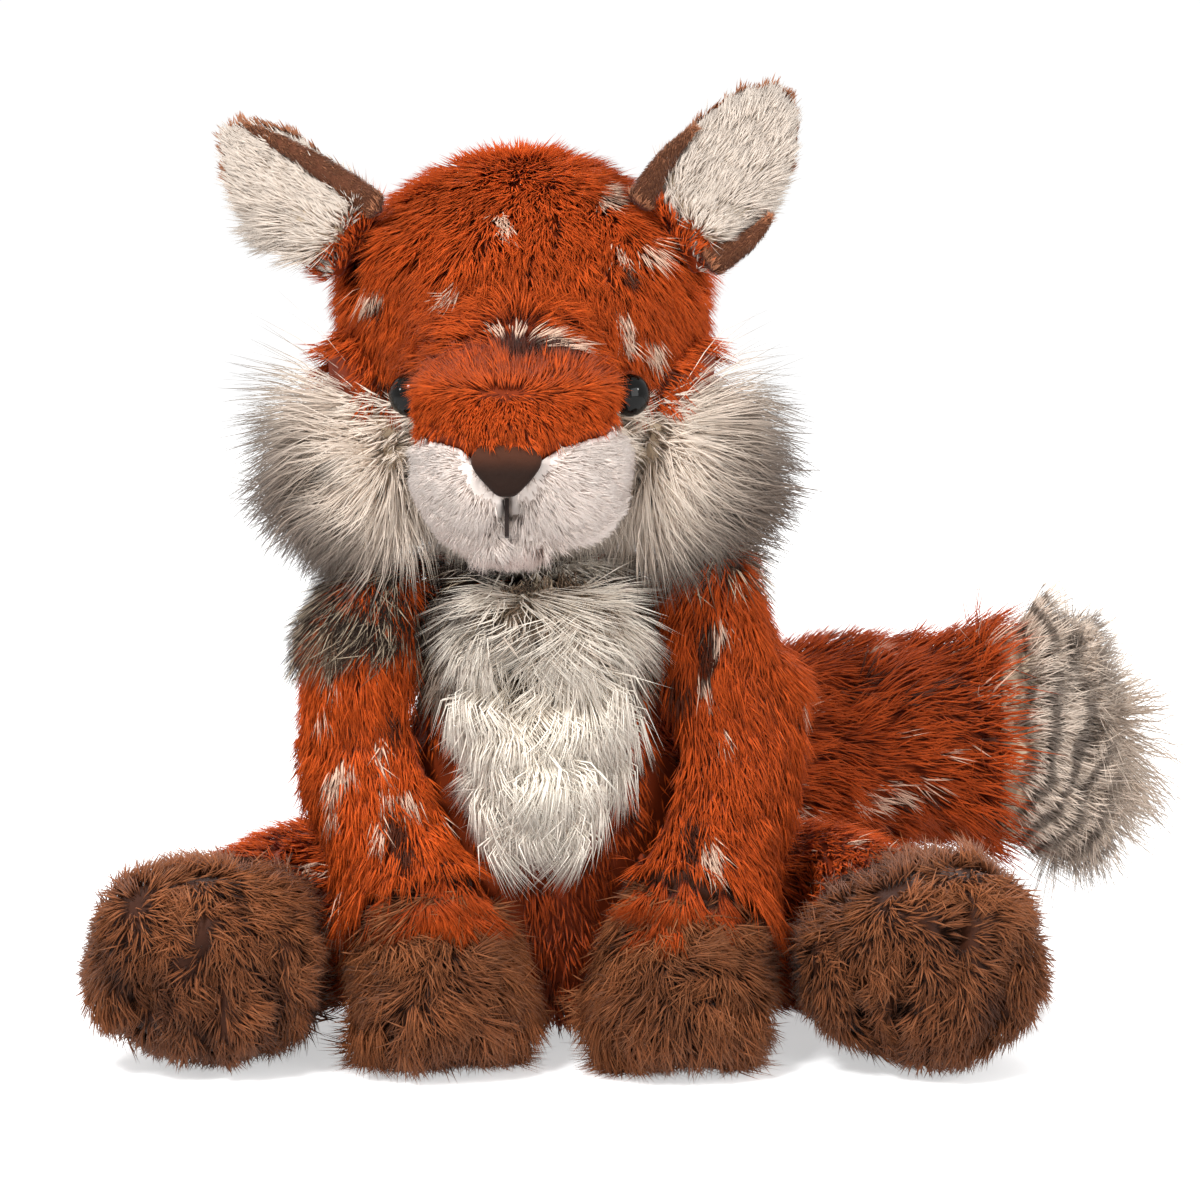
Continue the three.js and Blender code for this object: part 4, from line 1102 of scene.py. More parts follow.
def tail_bands():
    """A node group that darkens its colour in bands, BAND_GAP apart: where the cosine of x, bent by
    8 (z - BEND_HEIGHT)^2 and by noise, is high. They begin at FADE_IN and are gone at FADE_OUT."""
    group = bpy.data.node_groups.new("tail_bands", "ShaderNodeTree")
    for way in ("INPUT", "OUTPUT"):
        group.interface.new_socket(name="Colour", in_out=way, socket_type="NodeSocketColor")
    nodes, links = group.nodes, group.links
    enter, leave = nodes.new("NodeGroupInput"), nodes.new("NodeGroupOutput")
    where, parts, ragged = (nodes.new("ShaderNode" + k) for k in ("TexCoord", "SeparateXYZ", "TexNoise"))
    ragged.inputs["Scale"].default_value = 34
    ragged.inputs["Detail"].default_value = 7
    links.new(where.outputs["Object"], parts.inputs[0])
    links.new(where.outputs["Object"], ragged.inputs["Vector"])
    x, z, noise = parts.outputs["X"], parts.outputs["Z"], ragged.outputs["Fac"]
    bent = maths(
        group, ("SUBTRACT", z, BEND_HEIGHT), ("POWER", None, 2), ("MULTIPLY", None, 8),
        ("ADD", None, x), ("SUBTRACT", None, BAND_START),
    )
    wave = maths(
        group, ("SUBTRACT", noise, 0.5), ("MULTIPLY", None, 0.036), ("ADD", None, bent),
        ("MULTIPLY", None, 2 * np.pi / BAND_GAP), ("COSINE", None), ("ADD", None, 0.25),
    )
    inside = maths(group, ("SUBTRACT", x, FADE_IN), ("MULTIPLY", None, 300), ("MINIMUM", None, 1))
    beyond = maths(group, ("SUBTRACT", FADE_OUT, x), ("MULTIPLY", None, 90), ("MINIMUM", None, 1))
    amount = maths(
        group, ("MINIMUM", wave, 1), ("MINIMUM", None, inside), ("MINIMUM", None, beyond),
        ("MAXIMUM", None, 0), ("MULTIPLY", None, 0.72),
    )
    mix = nodes.new("ShaderNodeMix")
    mix.data_type = "RGBA"
    links.new(amount, mix.inputs[0])
    links.new(enter.outputs[0], mix.inputs[6])
    mix.inputs[7].default_value = (*TAUPE_TIP, 1)
    links.new(mix.outputs[2], leave.inputs[0])
    return group


banded = cloth["banded_long_pile"].node_tree
bands = banded.nodes.new("ShaderNodeGroup")
bands.node_tree = tail_bands()
painted = banded.nodes["Attribute"]
banded.links.new(painted.outputs["Color"], bands.inputs[0])
dyed = [k for k in banded.nodes if k.bl_idname == "ShaderNodeGroup" and k.node_tree == pile_group][0]
banded.links.new(bands.outputs[0], dyed.inputs["Colour"])
print("band to band", BAND_GAP / MM, "mm")

# %% [markdown]
# Its hair is longer than the tail's and fans out, in two coats: a dense base and longer guard hairs in
# pointed locks.

# %% Tail tip
TAIL_SEAM, TAIL_END = 141.0, 196.0


def thin_end(points, normals):
    """Draws the tip's cloth in towards its axis, by nothing at the seam and two fifths at the end, and
    raises its upper side by 4 mm."""
    axis = np.array([0, 68.0, 75.0])
    share = smooth_step(points[:, 0], TAIL_SEAM, TAIL_END)[:, None]
    drawn = -0.4 * share * (points - axis) * np.array([0, 1, 1]) - share * np.array([18.0, 0, 0])
    drawn[:, 2] += 4 * smooth_step(points[:, 2], 88, 110) * smooth_step(points[:, 0], 143, 152)
    return drawn


end = backing("tail_tip", 5.0, lumps=1.0, shape=thin_end)
lay_backing(end, "banded_long_pile", CREAM_DEEP)
tip_coats = (("base", 52, 5800, 15, 24, 0.45), ("guard", 53, 3400, 22, 37, 0.9))
for name, seed, count, short, long, pull in tip_coats:
    p, n = sow(end, count, seed)
    out = unit((p - np.array([150.0, 68.0, 77.0])) * np.array([0.0, 1, 1]))
    spare = smooth_step(p[:, 0], TAIL_SEAM, TAIL_END - 20)
    below = 0.5 * spare * smooth_step(-p[:, 2], -90, -55)
    droop = np.array([0.3, 0, -0.35]) * smooth_step(-p[:, 2], -100, -60)[:, None]
    flow = np.array([1.0, 0, 0]) + 0.6 * out + droop
    length = (short + (long - short) * spare) * (1 + below)
    hair = comb(
        p, n, flow, length, 0.46, seed, knots=4, stand=(28, 8), swirl=0.25, lean=0.25, tuft=6.5,
        pull=pull, wave=0.12, sag=0.1, curl=0.3,
    )
    base = fade(hair, CREAM_DEEP * 0.75, dye(218, 200, 184), 0.6, 0.3)
    far = smooth_step(hair["place"][:, :, 0], 172, 205) * 0.6
    far = far + smooth_step(-p[:, 2], -72, -45)[:, None] * 0.3
    paint = blend_in(base, GRIZZLE, np.minimum(far, 0.75))
    lay("tail_tip_%s_pile" % name, hair, paint, "banded_long_pile", "tail")

# %% [markdown]
# The head is a ball of rust pile, brushed from the crown down, but up again where the snout begins, so
# that beige tufts stand over the bridge. Below a line through the eyes the pile is the cream of the
# ruffs. Round each eye some fibres are black, as lashes are. A small coat of its own closes the whorl
# on the crown.

# %% Head
CROWN = np.array([HEAD_X, 14.0, 274.0])
SNOUT_TOP = np.array([HEAD_X, -62.0, 207.0])
EAR_ROOTS = {"left": np.array([42.07, -22.49, 242.42]), "right": np.array([-61.07, -22.49, 242.42])}
EYES = {"left": np.array([22.86, -51.0, 198.46]), "right": np.array([-41.86, -51.0, 198.46])}
NORMALS = {"left": np.array([0.53, -0.85, 0.0]), "right": np.array([-0.53, -0.85, 0.0])}


def below_eyes(p):
    """Height over the line at which rust turns cream: 196 mm, falling towards the back."""
    return p[:, 2] - (196 - 0.55 * np.maximum(0, p[:, 1] + 5)) + 2.0 * drift(p, 7, 61)


def eye_gap(p):
    """Distance to the nearer eye's middle."""
    return np.min([np.linalg.norm(p - e, axis=-1) for e in EYES.values()], axis=0)


pale_head = [
    (380, 281, 10, 8, -4), (503, 224, 7, 12, 2), (461, 286, 6, 12, -3), (601, 198, 8, 10, 6),
    (617, 250, 6, 14, 6), (640, 247, 7, 9, 4), (622, 322, 8, 18, 6), (648, 338, 9, 12, 8),
    (540, 346, 34, 9, 0), (512, 346, 10, 12, 0),
]
# the first mark is a dark line at the top of the bridge: dark tufts, and partly painted shade of the seam
# between brow and bridge
dark_head = [
    (544, 358, 34, 8, 0), (394, 374, 13, 8, 0), (652, 372, 13, 8, 0), (620, 266, 6, 9, 4),
    (385, 294, 7, 7, 0),
]
head = backing("head", 7.5, voxel=3.2)
over_eyes = (below_eyes(head["points"]) > 0)[:, None]
lay_backing(head, "rust_pile", np.where(over_eyes, RUST_DEEP, CREAM_DEEP))
for name, seed, count in (("brow", 60, 22400), ("nape", 61, 6400)):
    front = name == "brow"
    rusty = lambda c, f: ((c[:, 1] < 6) == front) * (below_eyes(c) > 0) * (eye_gap(c) > 6.9)
    p, n = sow(head, count, seed, rusty)
    near = 1.6 * front * np.exp(-((np.linalg.norm(p - SNOUT_TOP, axis=1) / 26) ** 2))
    flow = unit(p - CROWN) + near[:, None] * unit(p - SNOUT_TOP)
    to_ear = np.min([np.linalg.norm(p - e, axis=1) for e in EAR_ROOTS.values()], axis=0)
    length = 10.5 + 6.5 * np.exp(-((to_ear / 20) ** 4))
    hair = comb(p, n, flow, length, 0.67, seed, swirl=0.45, lean=0.3, tuft=3.0, lock=7, stand=(50, 12))
    beige, soot = spots(p, pale_head), spots(p, dark_head)
    if not front:
        beige, soot = mottle(p, (1, 1, 2), 62, 0.7), mottle(p, (1, 1, 2), 63, 0.74)
    soot = np.maximum(soot, (eye_gap(p) < 11) * 0.8)
    lay("head_pile_" + name, hair, rust(hair, beige, soot, 0.12), "rust_pile", "head")
on_crown = lambda c, f: (np.linalg.norm((c - CROWN)[:, :2], axis=1) < 9) * (c[:, 2] > 230)
p, n = sow(head, 420, 64, on_crown)
hair = comb(p, n, p - CROWN, 9.5, 0.7, 64, stand=(74, 40), swirl=1.5, tuft=3)
lay("crown_pile", hair, fade(hair, RUST_DEEP, RUST, 1, 0.4), "rust_pile", "head")

# %% [markdown]
# The ruffs stand out from the cheeks in a fan: cream near the face, with thin near-black tips. Every
# direction of the fan starts from one point between the eyes, and so do the colours.

# %% Fan and colours of the ruffs
FACE_MIDDLE = np.array([HEAD_X, 0, 202])


def fan(p, back=0.25):
    """Away from the point between the eyes, seen from the front, and a little back."""
    level = unit((p - FACE_MIDDLE) * np.array([1, 0, 0.8]))
    return level + np.array([0, back, 0])


def ruff_paint(hair, first=0.5, dark=0.6):
    """Cream that turns grey-brown from share first of the fibre on, and near-black at the tip. Far out
    most tufts do so, near the face none."""
    base = fade(hair, dye(218, 200, 182), dye(238, 222, 206), 0.5, 0.08)
    share = hair["share"][None, :]
    out = np.linalg.norm((hair["place"] - FACE_MIDDLE) * np.array([1, 0, 0.9]), axis=2)
    shade = smooth_step(-hair["root"][:, 2], -185, -150)[:, None] * (hair["root"][:, 1] < 0)[:, None]
    base = blend_in(base, TAUPE, np.maximum(smooth_step(out, 56, 86) * 0.6, shade * 0.25))
    some = (hair["fibre"] * 0.4 + hair["tuft"] * 0.8 > 1 - dark)[:, None]
    dusky = smooth_step(hair["root"][:, 0], 22, 44)[:, None] * smooth_step(share, 0.2, 0.9)
    base = blend_in(base, GRIZZLE, dusky * 0.38)
    tips = some * smooth_step(share, first, 1) * smooth_step(out, 60, 78)
    return blend_in(base, TAUPE_TIP, tips * 0.9)


print("the fan starts from", FACE_MIDDLE)

# %% [markdown]
# Their cloth reaches only half way, and the hair fills the rest, in three coats: an even pile, long
# guard hairs in pointed locks, and locks that fall from the lower edge.

# %% Cheek ruffs
ruffs = []
for side, way in SIDES:

    def half_way(points, normals, way=way):
        """Draws the ruff in to under half its reach from the cheek, its top down and its foot up."""
        up = -13 * smooth_step(points[:, 2], 175, 212) + 9 * smooth_step(-points[:, 2], -175, -148)
        return towards(-0.56 * (points[:, 0] - HEAD_X - way * 33), 0, up, points)

    ruff = backing("cheek_ruff_" + side, 3.0, voxel=2.6, lumps=1.0, shape=half_way)
    ruffs.append(ruff)
    lay_backing(ruff, "cream_long_pile", CREAM_DEEP)
    p, n = sow(ruff, 5200, 70 + way)
    hair = comb(
        p, n, fan(p), 18, 0.85, 70 + way, stand=(20, 2), swirl=0.2, lean=0.08, tuft=4, pull=0.15,
        mess=0.07, vary=0.15,
    )
    lay("ruff_pile_" + side, hair, ruff_paint(hair, 0.5, 0.45), "cream_long_pile", "head")
    outside = lambda c, f: smooth_step(np.abs(c[:, 0] - HEAD_X), 30, 42) * (c[:, 2] < 199)
    p, n = sow(ruff, 3600, 76 + way, outside)
    length = 38 - 14 * smooth_step(-p[:, 2], -178, -156)
    hair = comb(
        p, n, fan(p), length, 0.44, 76 + way, knots=4, stand=(28, 2), swirl=0.35, lean=0.4, tuft=7,
        lock=12, pull=0.9, wave=0.08, sag=0.08, curl=0.3, vary=0.7,
    )
    lay("ruff_guard_pile_" + side, hair, ruff_paint(hair, 0.25, 0.85), "cream_long_pile", "head")
    p, n = sow(ruff, 1900, 78 + way, lambda c, f: smooth_step(-c[:, 2], -172, -160))
    hair = comb(
        p, n, towards(0.45 * way, 0, -1, p), 29, 0.5, 78 + way, stand=(30, 10), swirl=0.3, lean=0.3,
        tuft=6, pull=0.75, sag=0.3, vary=0.6,
    )
    paint = in_dark_patch(hair, ruff_paint(hair, 0.3, 0.7))
    lay("ruff_fall_" + side, hair, paint, "cream_long_pile", "head")

# %% [markdown]
# The face between ruffs and snout has the same cream, and so has the head's underside. Where cheek,
# ruff and snout are sewn together, more hair is sown right into the seam, so that no gap shows.

# %% Face, seams, underside
def beside_snout(c, f):
    """True where cheek, ruff and snout meet, left and right, under the eyes."""
    off = np.abs(c[:, 0] - HEAD_X)
    front = (c[:, 1] < -14) * (c[:, 2] > 158) * (c[:, 2] < 197)
    return (off > 24) * (off < 52) * front * (eye_gap(c) > 8)


p, n = sow(head, 7500, 73, lambda c, f: (below_eyes(c) < 0) * (c[:, 1] < 25) * (eye_gap(c) > 8.5))
length = 9 + 11 * smooth_step(-below_eyes(p), 1, 14)
hair = comb(
    p, n, fan(p, 0.2), length, 0.85, 73, stand=(17, 2), swirl=0.2, lean=0.06, tuft=4, pull=0.15, sag=0.08,
    mess=0.07, vary=0.15,
)
lay("face_pile", hair, ruff_paint(hair), "cream_long_pile", "head")
for piece, count in ((head, 1700), *((ruff, 600) for ruff in ruffs)):
    p, n = sow(dict(piece, open=~piece["open"]), count, 79, beside_snout)
    hair = comb(p, n, fan(p, -0.3), 13, 0.8, 79, stand=(50, 12), swirl=0.3, lean=0.1, tuft=4, pull=0.2)
    lay(piece["node"] + "_seam_pile", hair, ruff_paint(hair), "cream_long_pile", "head")
p, n = sow(head, 4400, 75, lambda c, f: (c[:, 2] < 178) * (c[:, 1] < 12))
hair = comb(
    p, n, towards(0.012 * (p[:, 0] - HEAD_X), -0.1, -1, p), 27, 0.5, 75, stand=(52, 60), swirl=0.3,
    tuft=5, sag=0.6,
)
paint = in_dark_patch(hair, ruff_paint(hair, 0.4, 0.7))
lay("under_chin_pile", hair, paint, "cream_long_pile", "head")
p, n = sow(head, 3000, 74, lambda c, f: (below_eyes(c) < 0) * (c[:, 1] >= 25))
hair = comb(p, n, p - CROWN, 12, 0.85, 74, swirl=0.4)
paint = rust(hair, mottle(p, (1, 1, 2), 62, 0.7), mottle(p, (1, 1, 2), 63, 0.74))
lay("under_nape_pile", hair, paint, "rust_pile", "head")

# %% [markdown]
# Between the eyes lies the bridge of the snout, with short rust pile that lies forward and down, and
# stands up where it meets the brow.

# %% Bridge
SEAM_X = -12.5
bridge = backing("snout_bridge", 3.2, voxel=2.2, lumps=0.4)
lay_backing(bridge, "rust_pile", RUST_DEEP)


def beyond_nose(c, f):
    """True on the bridge, but for 6.5 mm round the middle of an eye, and the nose's own place."""
    nose = np.linalg.norm((c - np.array([SEAM_X, -94, 181])) / np.array([12, 12, 9]), axis=1)
    return (eye_gap(c) > 6.5) * (nose > 1)


p, n = sow(bridge, 7800, 80, beyond_nose)
open_eye = smooth_step(eye_gap(p), 7, 16)
flow = towards((1.6 * open_eye - 0.7) * (p[:, 0] - SEAM_X) / 30, -1, -0.9, p)
flow = flow + smooth_step(p[:, 2], 198, 207)[:, None] * np.array([0, 2.2, 2.4])
length = (6.2 + 4.3 * smooth_step(p[:, 2], 198, 207)) * (0.5 + 0.5 * open_eye)
hair = comb(
    p, n, flow, length, 0.54, 80, stand=(44, 12), swirl=0.3, lean=0.2, tuft=2.4, lock=6, pull=0.35,
)
pale = spots(p, [(556, 452, 9, 14, 0), (462, 452, 8, 8, 0)])
# near-black round the eyes, as lashes are; the line at the top is dark tufts and partly painted shade of
# the seam under the brow
soot = np.maximum((eye_gap(p) < 9) * 0.9, spots(p, [(540, 366, 38, 8, 0)]))
lay("bridge_pile", hair, rust(hair, pale, soot), "rust_pile", "head")

# %% [markdown]
# Two white pads meet in a seam under the nose and hang a little over the pink chin. Their pile is
# short and fine, and longest along the bottom.

# %% Muzzle and chin
def fuller_below(points, normals):
    """Lowers the pads along the seam: by 3 mm times e^(-(d/9)^2), d being the way from the seam."""
    near = np.exp(-(((points[:, 0] - SEAM_X) / 9) ** 2))
    return towards(0, 0, -3.0 * near * smooth_step(-points[:, 2], -173, -160), points)


UNDER_NOSE = np.array([SEAM_X, -90.0, 186.0])
for side, way in SIDES:
    pad = backing("muzzle_" + side, 2.2, voxel=1.8, lumps=0.25, rounds=10, shape=fuller_below)
    lay_backing(pad, "white_short_pile", WHITE)
    p, n = sow(pad, 9400, 82 + way, lambda c, f: c[:, 1] < -46)
    flow = (p - UNDER_NOSE) * np.array([1, 0.4, 1])
    length = 6.4 + 2.6 * smooth_step(-p[:, 2], -168, -157)
    hair = comb(
        p, n, flow, length, 0.52, 82 + way, stand=(30, 8), swirl=0.35, lean=0.18, tuft=4, lock=9, pull=0.18,
    )
    paint = fade(hair, WHITE_DEEP, WHITE, 1.2, 0.12)
    lay("muzzle_pile_" + side, hair, paint, "white_short_pile", "head")
    beside_thread = lambda c, f: (np.abs(c[:, 0] - SEAM_X) < 5) * (c[:, 2] < 168) * (c[:, 1] < -70)
    p, n = sow(all_over(pad), 700, 88 + way, beside_thread)
    flow = towards(-0.5 * way, -0.3, -1, p)
    hair = comb(p, n, flow, 8, 0.45, 88 + way, stand=(50, 10), tuft=3, sag=0.2)
    paint = fade(hair, WHITE_DEEP, WHITE, 1, 0.15)
    lay("seam_tufts_" + side, hair, paint, "white_short_pile", "head")
chin = backing("chin", 2.4, voxel=1.6, lumps=0.3)
lay_backing(chin, "pink_short_pile", PINK * 0.8)
p, n = sow(chin, 2600, 86, lambda c, f: c[:, 1] < -46)
hair = comb(p, n, towards(0, -0.4, -1, p), 8, 0.55, 86, stand=(50, 20), tuft=3.0, pull=0.25)
lay("chin_pile", hair, fade(hair, PINK * 0.7, PINK, 0.6, 0.1), "pink_short_pile", "head")

# %% [markdown]
# Folds of the ears, the eyes and the nose are solids of their own. Each is a grid of rings that is
# closed with a point at either end.

# %% A closed grid
def closed_grid(grid, first, last):
    """Points and triangles of a grid of rings, shape (rows, steps, 3), that is closed round each ring
    and drawn to the point first before the rings and the point last after them."""
    rows, steps, _ = grid.shape
    r, c = np.meshgrid(np.arange(rows - 1), np.arange(steps), indexing="ij")
    a, b = r * steps + c, r * steps + (c + 1) % steps
    k = np.arange(steps)
    base = (rows - 1) * steps
    faces = np.concatenate([
        np.stack([a, b, b + steps], -1).reshape(-1, 3),
        np.stack([a, b + steps, a + steps], -1).reshape(-1, 3),
        np.stack([np.full(steps, rows * steps), (k + 1) % steps, k], -1),
        np.stack([np.full(steps, rows * steps + 1), base + k, base + (k + 1) % steps], -1),
    ])
    return np.concatenate([grid.reshape(-1, 3), [first, last]]), faces


def on_circle(steps, across, upward):
    """Directions round a circle, shape (steps, 3): cos(a) across + sin(a) upward."""
    a = np.arange(steps) * 2 * np.pi / steps
    return np.cos(a)[:, None] * across + np.sin(a)[:, None] * upward


def roll(start, end, bow, radius, deep, facing, rows=26, steps=20):
    """A tapered roll from start to end that bows by bow in the middle. Its radius at share t of the
    way is radius times (1 - t)^0.6 times the fourth root of 1 - (1 - 2t)^8, and deep of that along
    facing."""
    t = np.linspace(0, 1, rows + 2)[1:-1]
    path = start + t[:, None] * (end - start) + np.sin(np.pi * t)[:, None] * bow
    along = unit(end - start)
    across = np.cross(along, facing)
    r = radius * (0.12 + 0.88 * (1 - t) ** 0.6) * (1 - (1 - 2 * t) ** 8) ** 0.25
    grid = path[:, None, :] + r[:, None, None] * on_circle(steps, across, deep * facing)
    points, faces = closed_grid(grid, start, end)
    return all_over({"points": points, "faces": faces, "normals": normals_of(points, faces)})


one_way, two_way = np.array([1.0, 0, 0]), np.array([0, 1.0, 0])
fold = roll(0 * one_way, 9 * one_way, 0 * two_way, 2, 0.7, two_way)
print("a roll 9 mm long has", len(fold["faces"]), "triangles")

# %% [markdown]
# The ears are leaves of short brown pile, lined with cream pile that hangs over the lower edge. Both
# lean 18 degrees forward, but each rises by an angle of its own, because the photographed pair isn't
# alike. At the foot the brown back curls forward over the lining, which shows as tapered rolls, and
# longer pile hides the seam.

# %% Ears
EAR_FORWARD = 18
EAR_PILE, EAR_PILE_DEEP = dye(164, 108, 76), dye(88, 50, 32)
# each line: the way it points, its rise in degrees, its cloth's length, width and lift, the fringe in
# mm, and for every fold where it starts, where it ends and its radius
ear_facts = {
    "left": (1, 54, (0.97, 0.96, 3.5), 1, (((0, 19.5), (29, 19), 4.0), ((-3, -7), (20, -14.5), 4.2))),
    "right": (-1, 42, (0.92, 0.84, 0.0), 6, (((0, 13.5), (48, 5), 4.4),)),
}
for side, (way, rise, shrink, fringe, rolls) in ear_facts.items():
    body, root = "ear_" + side, EAR_ROOTS[side]
    level, forward = np.cos(np.radians(rise)), np.radians(EAR_FORWARD)
    axis = np.array([way * level * np.cos(forward), -level * np.sin(forward), np.sin(np.radians(rise))])
    facing = unit(np.array([0, -1.0, 0]) + axis[1] * axis)
    upward = np.cross(axis, facing) * (1 if np.cross(axis, facing)[2] > 0 else -1)

    def slimmer(points, normals, root=root, axis=axis, upward=upward, shrink=shrink):
        """Scales the leaf from its root, along its axis and across it, and lifts it."""
        long, wide, lift = shrink
        along, across = (points - root) @ axis, (points - root) @ upward
        return np.outer((long - 1) * along, axis) + np.outer((wide - 1) * across + lift, upward)

    back = backing("ear_back_" + side, 0.8, voxel=1.7, lumps=0.5, shape=slimmer)
    near_root = ((back["points"] - root) @ axis < 4)[:, None]
    in_front = ((back["normals"] @ facing) > 0.05)[:, None]
    ear_colours = np.where(near_root, RUST_DEEP, np.where(in_front, LINING * 0.7, EAR_PILE_DEEP))
    lay_backing(back, "ear_brown_pile", ear_colours)
    p, n = sow(back, 4300, 90 + way, lambda c, f: (f @ facing < -0.1) | ((c - root) @ axis < 9))
    hair = comb(p, n, axis + 0 * p, 5.0, 0.62, 90 + way, stand=(38, 8), tuft=4)
    paint = blend_in(fade(hair, EAR_PILE_DEEP, EAR_PILE, 1, 0.4), LINING, (n @ facing > 0.05) * 0.95)
    lay("ear_back_pile_" + side, hair, paint, "ear_brown_pile", body)
    p, n = sow(all_over(back), 2300, 97 + way, lambda c, f: np.abs((c - root) @ axis - 4) < 9)
    hair = comb(p, n, axis + 0 * p, 9, 0.64, 97 + way, stand=(54, 10), swirl=0.4, tuft=3.5)
    paint = blend_in(fade(hair, EAR_PILE_DEEP, EAR_PILE, 1, 0.4), LINING, n @ facing > 0)
    near_head = (p - root) @ axis + 2 * drift(p, 4, 98) < 3
    paint = np.where(near_head[:, None, None], fade(hair, RUST_DEEP, RUST, 1, 0.4), paint)
    lay("ear_foot_pile_" + side, hair, paint, "ear_brown_pile", body)
    lining = backing("ear_lining_" + side, 0.4, voxel=1.7, lumps=0.4, shape=slimmer)
    lay_backing(lining, "cream_short_pile", CREAM_DEEP)
    p, n = sow(lining, 4600, 92 + way, lambda c, f: f @ facing > -0.1)
    low = smooth_step(-((p - root) @ upward), -2, 12) * smooth_step(-((p - root) @ axis), -40, -12)
    flow = axis[None] - 1.2 * low[:, None] * upward[None]
    hair = comb(
        p, n, flow, 8.5 + fringe * low, 0.7, 92 + way, stand=(20, 3), swirl=0.25, lean=0.15, tuft=4,
        pull=0.3,
    )
    paint = fade(hair, CREAM_DEEP * 0.85, LINING, 0.7, 0.14)
    lay("ear_lining_pile_" + side, hair, paint, "cream_short_pile", body)
    for count, (first, last, radius) in enumerate(rolls):
        place_of = lambda q: root + q[0] * axis + q[1] * upward + 7.2 * facing
        bow = 1.5 * np.sign(first[1]) * upward
        fold = roll(place_of(first), place_of(last), bow, radius, 0.7, facing)
        name = "ear_roll_%s_%d" % (side, count + 1)
        paint = EAR_PILE_DEEP * (1 + 0.2 * drift(fold["points"], 5, 3))[:, None]
        make(name, fold["points"], fold["faces"], "ear_brown_pile", body, paint)
        p, n = sow(fold, 2400, 96 + way + 3 * count)
        hair = comb(p, n, axis + 0 * p, 4.2, 0.5, 96 + way + 3 * count, stand=(44, 16), lean=0.3, tuft=2.4)
        paint = fade(hair, EAR_PILE_DEEP, EAR_PILE, 1, 0.45)
        lay(name + "_pile", hair, paint, "ear_brown_pile", body)

# %% [markdown]
# The eyes are turned plastic domes on a shank that a washer holds from inside. A dome is a profile
# carried round an axis, so it is worked out as a grid of angle and height.

# %% Eyes
def turned(profile, centre, normal, steps=40):
    """A closed turned piece: each (radius, height) of the profile goes round the axis through centre
    along normal. The profile starts and ends on the axis, where a single point closes it."""
    normal = unit(normal)
    across = unit(np.cross([0, 0, 1.0], normal))
    ring = on_circle(steps, across, np.cross(normal, across))
    radius, height = np.array(profile[1:-1]).T
    grid = centre + radius[:, None, None] * ring + height[:, None, None] * normal
    return closed_grid(grid, centre + profile[0][1] * normal, centre + profile[-1][1] * normal)


plastic = finish("eye_gloss", 200, 0.1, -0.03, 0, 0.0, dye(7, 6, 5), gloss=0.18)
DOME_RADIUS, DOME_HEIGHT = 6.3, 4.9
dome = [(0, -8.0), (1.8, -8.0), (1.8, -1.0), (5.9, -1.0), (DOME_RADIUS, -0.5)]
for a in np.radians(np.linspace(0, 90, 12))[:-1]:
    dome.append((DOME_RADIUS * np.cos(a), DOME_HEIGHT * np.sin(a)))
dome.append((0, DOME_HEIGHT))
for side, middle in EYES.items():
    points, faces = turned(dome, middle, NORMALS[side])
    make("eye_dome_" + side, points, faces, "eye_gloss", "head", None, plastic, ("eye_" + side,))
    print("eye dome", side, "at", middle, "with", len(faces), "triangles")

# %% [markdown]
# The nose is a small sewn cushion of brown velvet: flat along the top, with a rounded point below and
# a crease between its lit top and its dark front. A dark thread runs down from it.

# %% Nose and stitch
NOSE = np.array([SEAM_X, -93.4, 181.2])
NOSE_WIDE, NOSE_HIGH, BOXY = 10.2, 7.6, 3.2


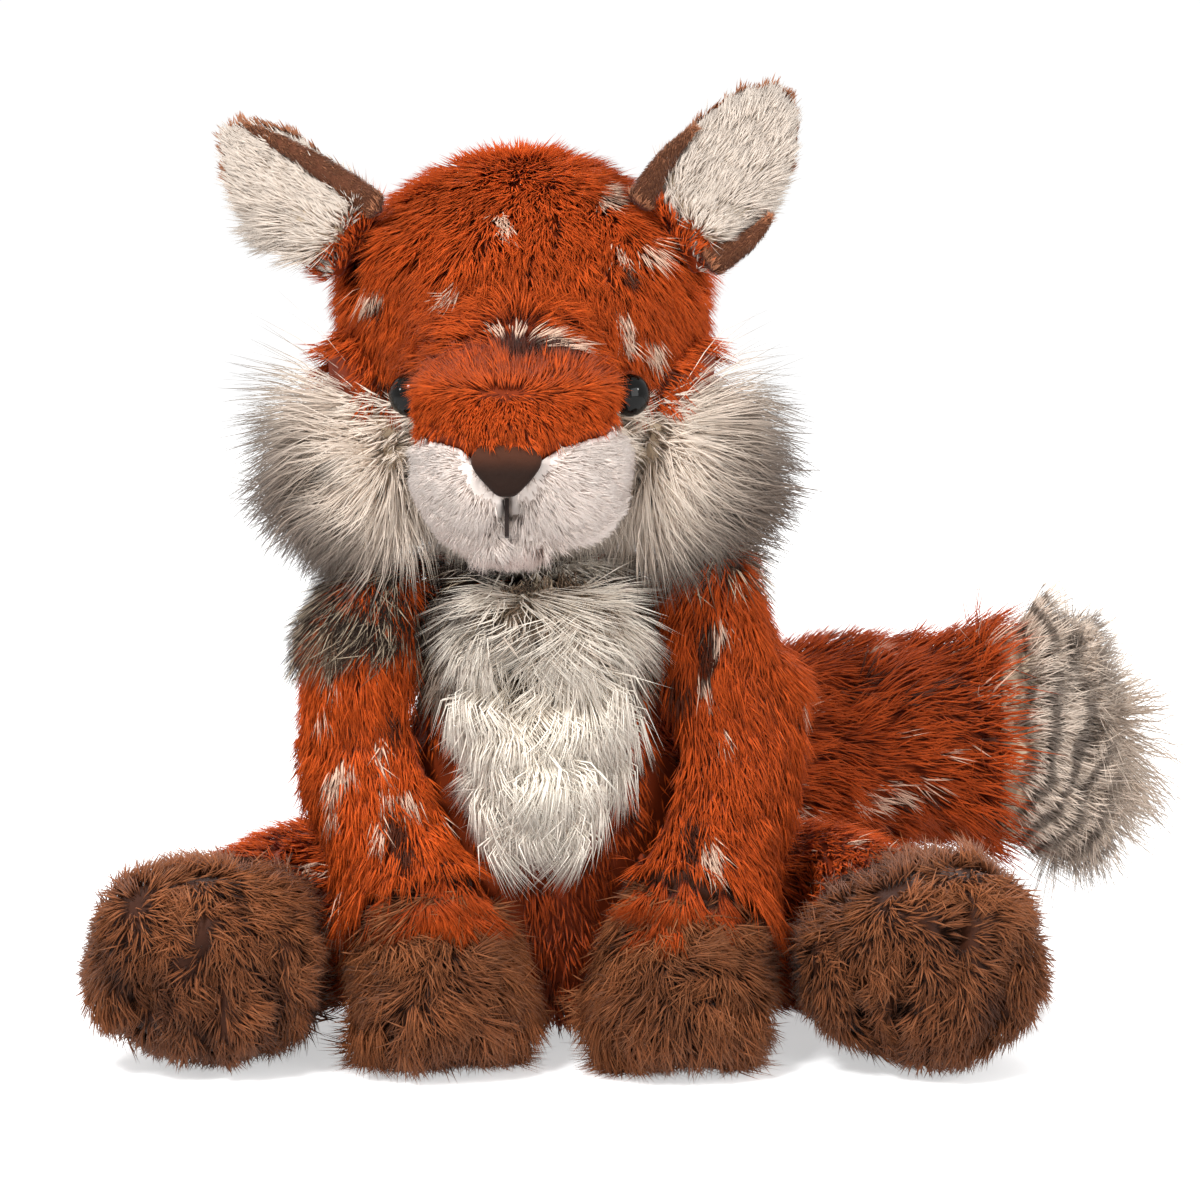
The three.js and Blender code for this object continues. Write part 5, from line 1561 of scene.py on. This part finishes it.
def nose_cushion(rows=28, steps=60):
    """The rim is a rounded block, |x|^BOXY + |z|^BOXY = 1, whose sides lean in towards the bottom: at
    height h from -1 to 1 it is 0.42 + 0.58 of a smooth rise wide. A row's share s of the rim rises by
    the fourth root of 1 - s^4."""
    angle = np.arange(steps) * 2 * np.pi / steps
    block = (np.abs(np.cos(angle)) ** BOXY + np.abs(np.sin(angle)) ** BOXY) ** (-1 / BOXY)
    high = block * np.sin(angle)
    wide = block * np.cos(angle) * (0.42 + 0.58 * smooth_step(high, -1.1, 0.4))
    s = np.sin(np.linspace(0, np.pi / 2, rows + 1)[1:])
    front = (1 - s**4) ** 0.25
    depth = np.concatenate([-4.6 * front, 4.0 * front[::-1][1:]])
    s = np.concatenate([s, s[::-1][1:]])[:, None]
    grid = np.stack([NOSE_WIDE * wide * s, depth[:, None] + 0 * s * wide, NOSE_HIGH * high * s], -1)
    crease = np.exp(-(((grid[..., 2] - 1.0) / 0.9) ** 2)) * (grid[..., 1] < 0)
    grid[..., 1] += 0.15 * crease + 0.02 * grid[..., 2] ** 2 + 0.16 * grid[..., 2]
    return grid + NOSE


grid = nose_cushion()
points, faces = closed_grid(grid, grid[0].mean(0) - np.array([0, 0.05, 0]), grid[-1].mean(0))
# painted highlight: the top of the nose is painted lighter than its darker front
tone = smooth_step(points[:, 2], NOSE[2] - 1, NOSE[2] + 6)[:, None]
velvet = dye(32, 17, 10) * (1 - tone) + dye(70, 38, 24) * tone
nose_cloth = finish("nose_velvet", 300, 0.3, 0.7, 0.05, 0.6)
make("nose_triangle", points, faces, "nose_velvet", "head", velvet, nose_cloth, ("nose",))
print("nose", np.ptp(points, axis=0).round(1), "mm wide, deep and high")
thread = finish("dark_thread", 800, 0.3, 0.5, 0.05, 0.3, colour=dye(30, 20, 16))
washer = finish("washer_plastic", 200, 0.1, 0.35, 0, 0.05, colour=dye(216, 216, 212))
plain = (("mouth_stitch", thread), ("eye_washer_left", washer), ("eye_washer_right", washer))
for node, material in plain:
    materials = frame["nodes"][node].data.materials
    materials.clear()
    materials.append(material)
print("measured solids that stay as they are", len(plain))

# %% [markdown]
# Last, the sizes before and after dressing are printed, to see how far the pile stands proud.

# %% Sizes
dressed_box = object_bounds()
sizes = {
    "cad_box": [[float(v) for v in corner] for corner in measured_box],
    "visual_box": [[float(v) for v in corner] for corner in dressed_box],
}
print("coats", len(coats), "triangles of pile", sum(coats))
for name, end, way in (("low", 0, -1), ("high", 1, 1)):
    proud = [way * (b - a) / MM for a, b in zip(sizes["cad_box"][end], sizes["visual_box"][end])]
    print("stands proud at the", name, "end, in mm", [round(v, 1) for v in proud])
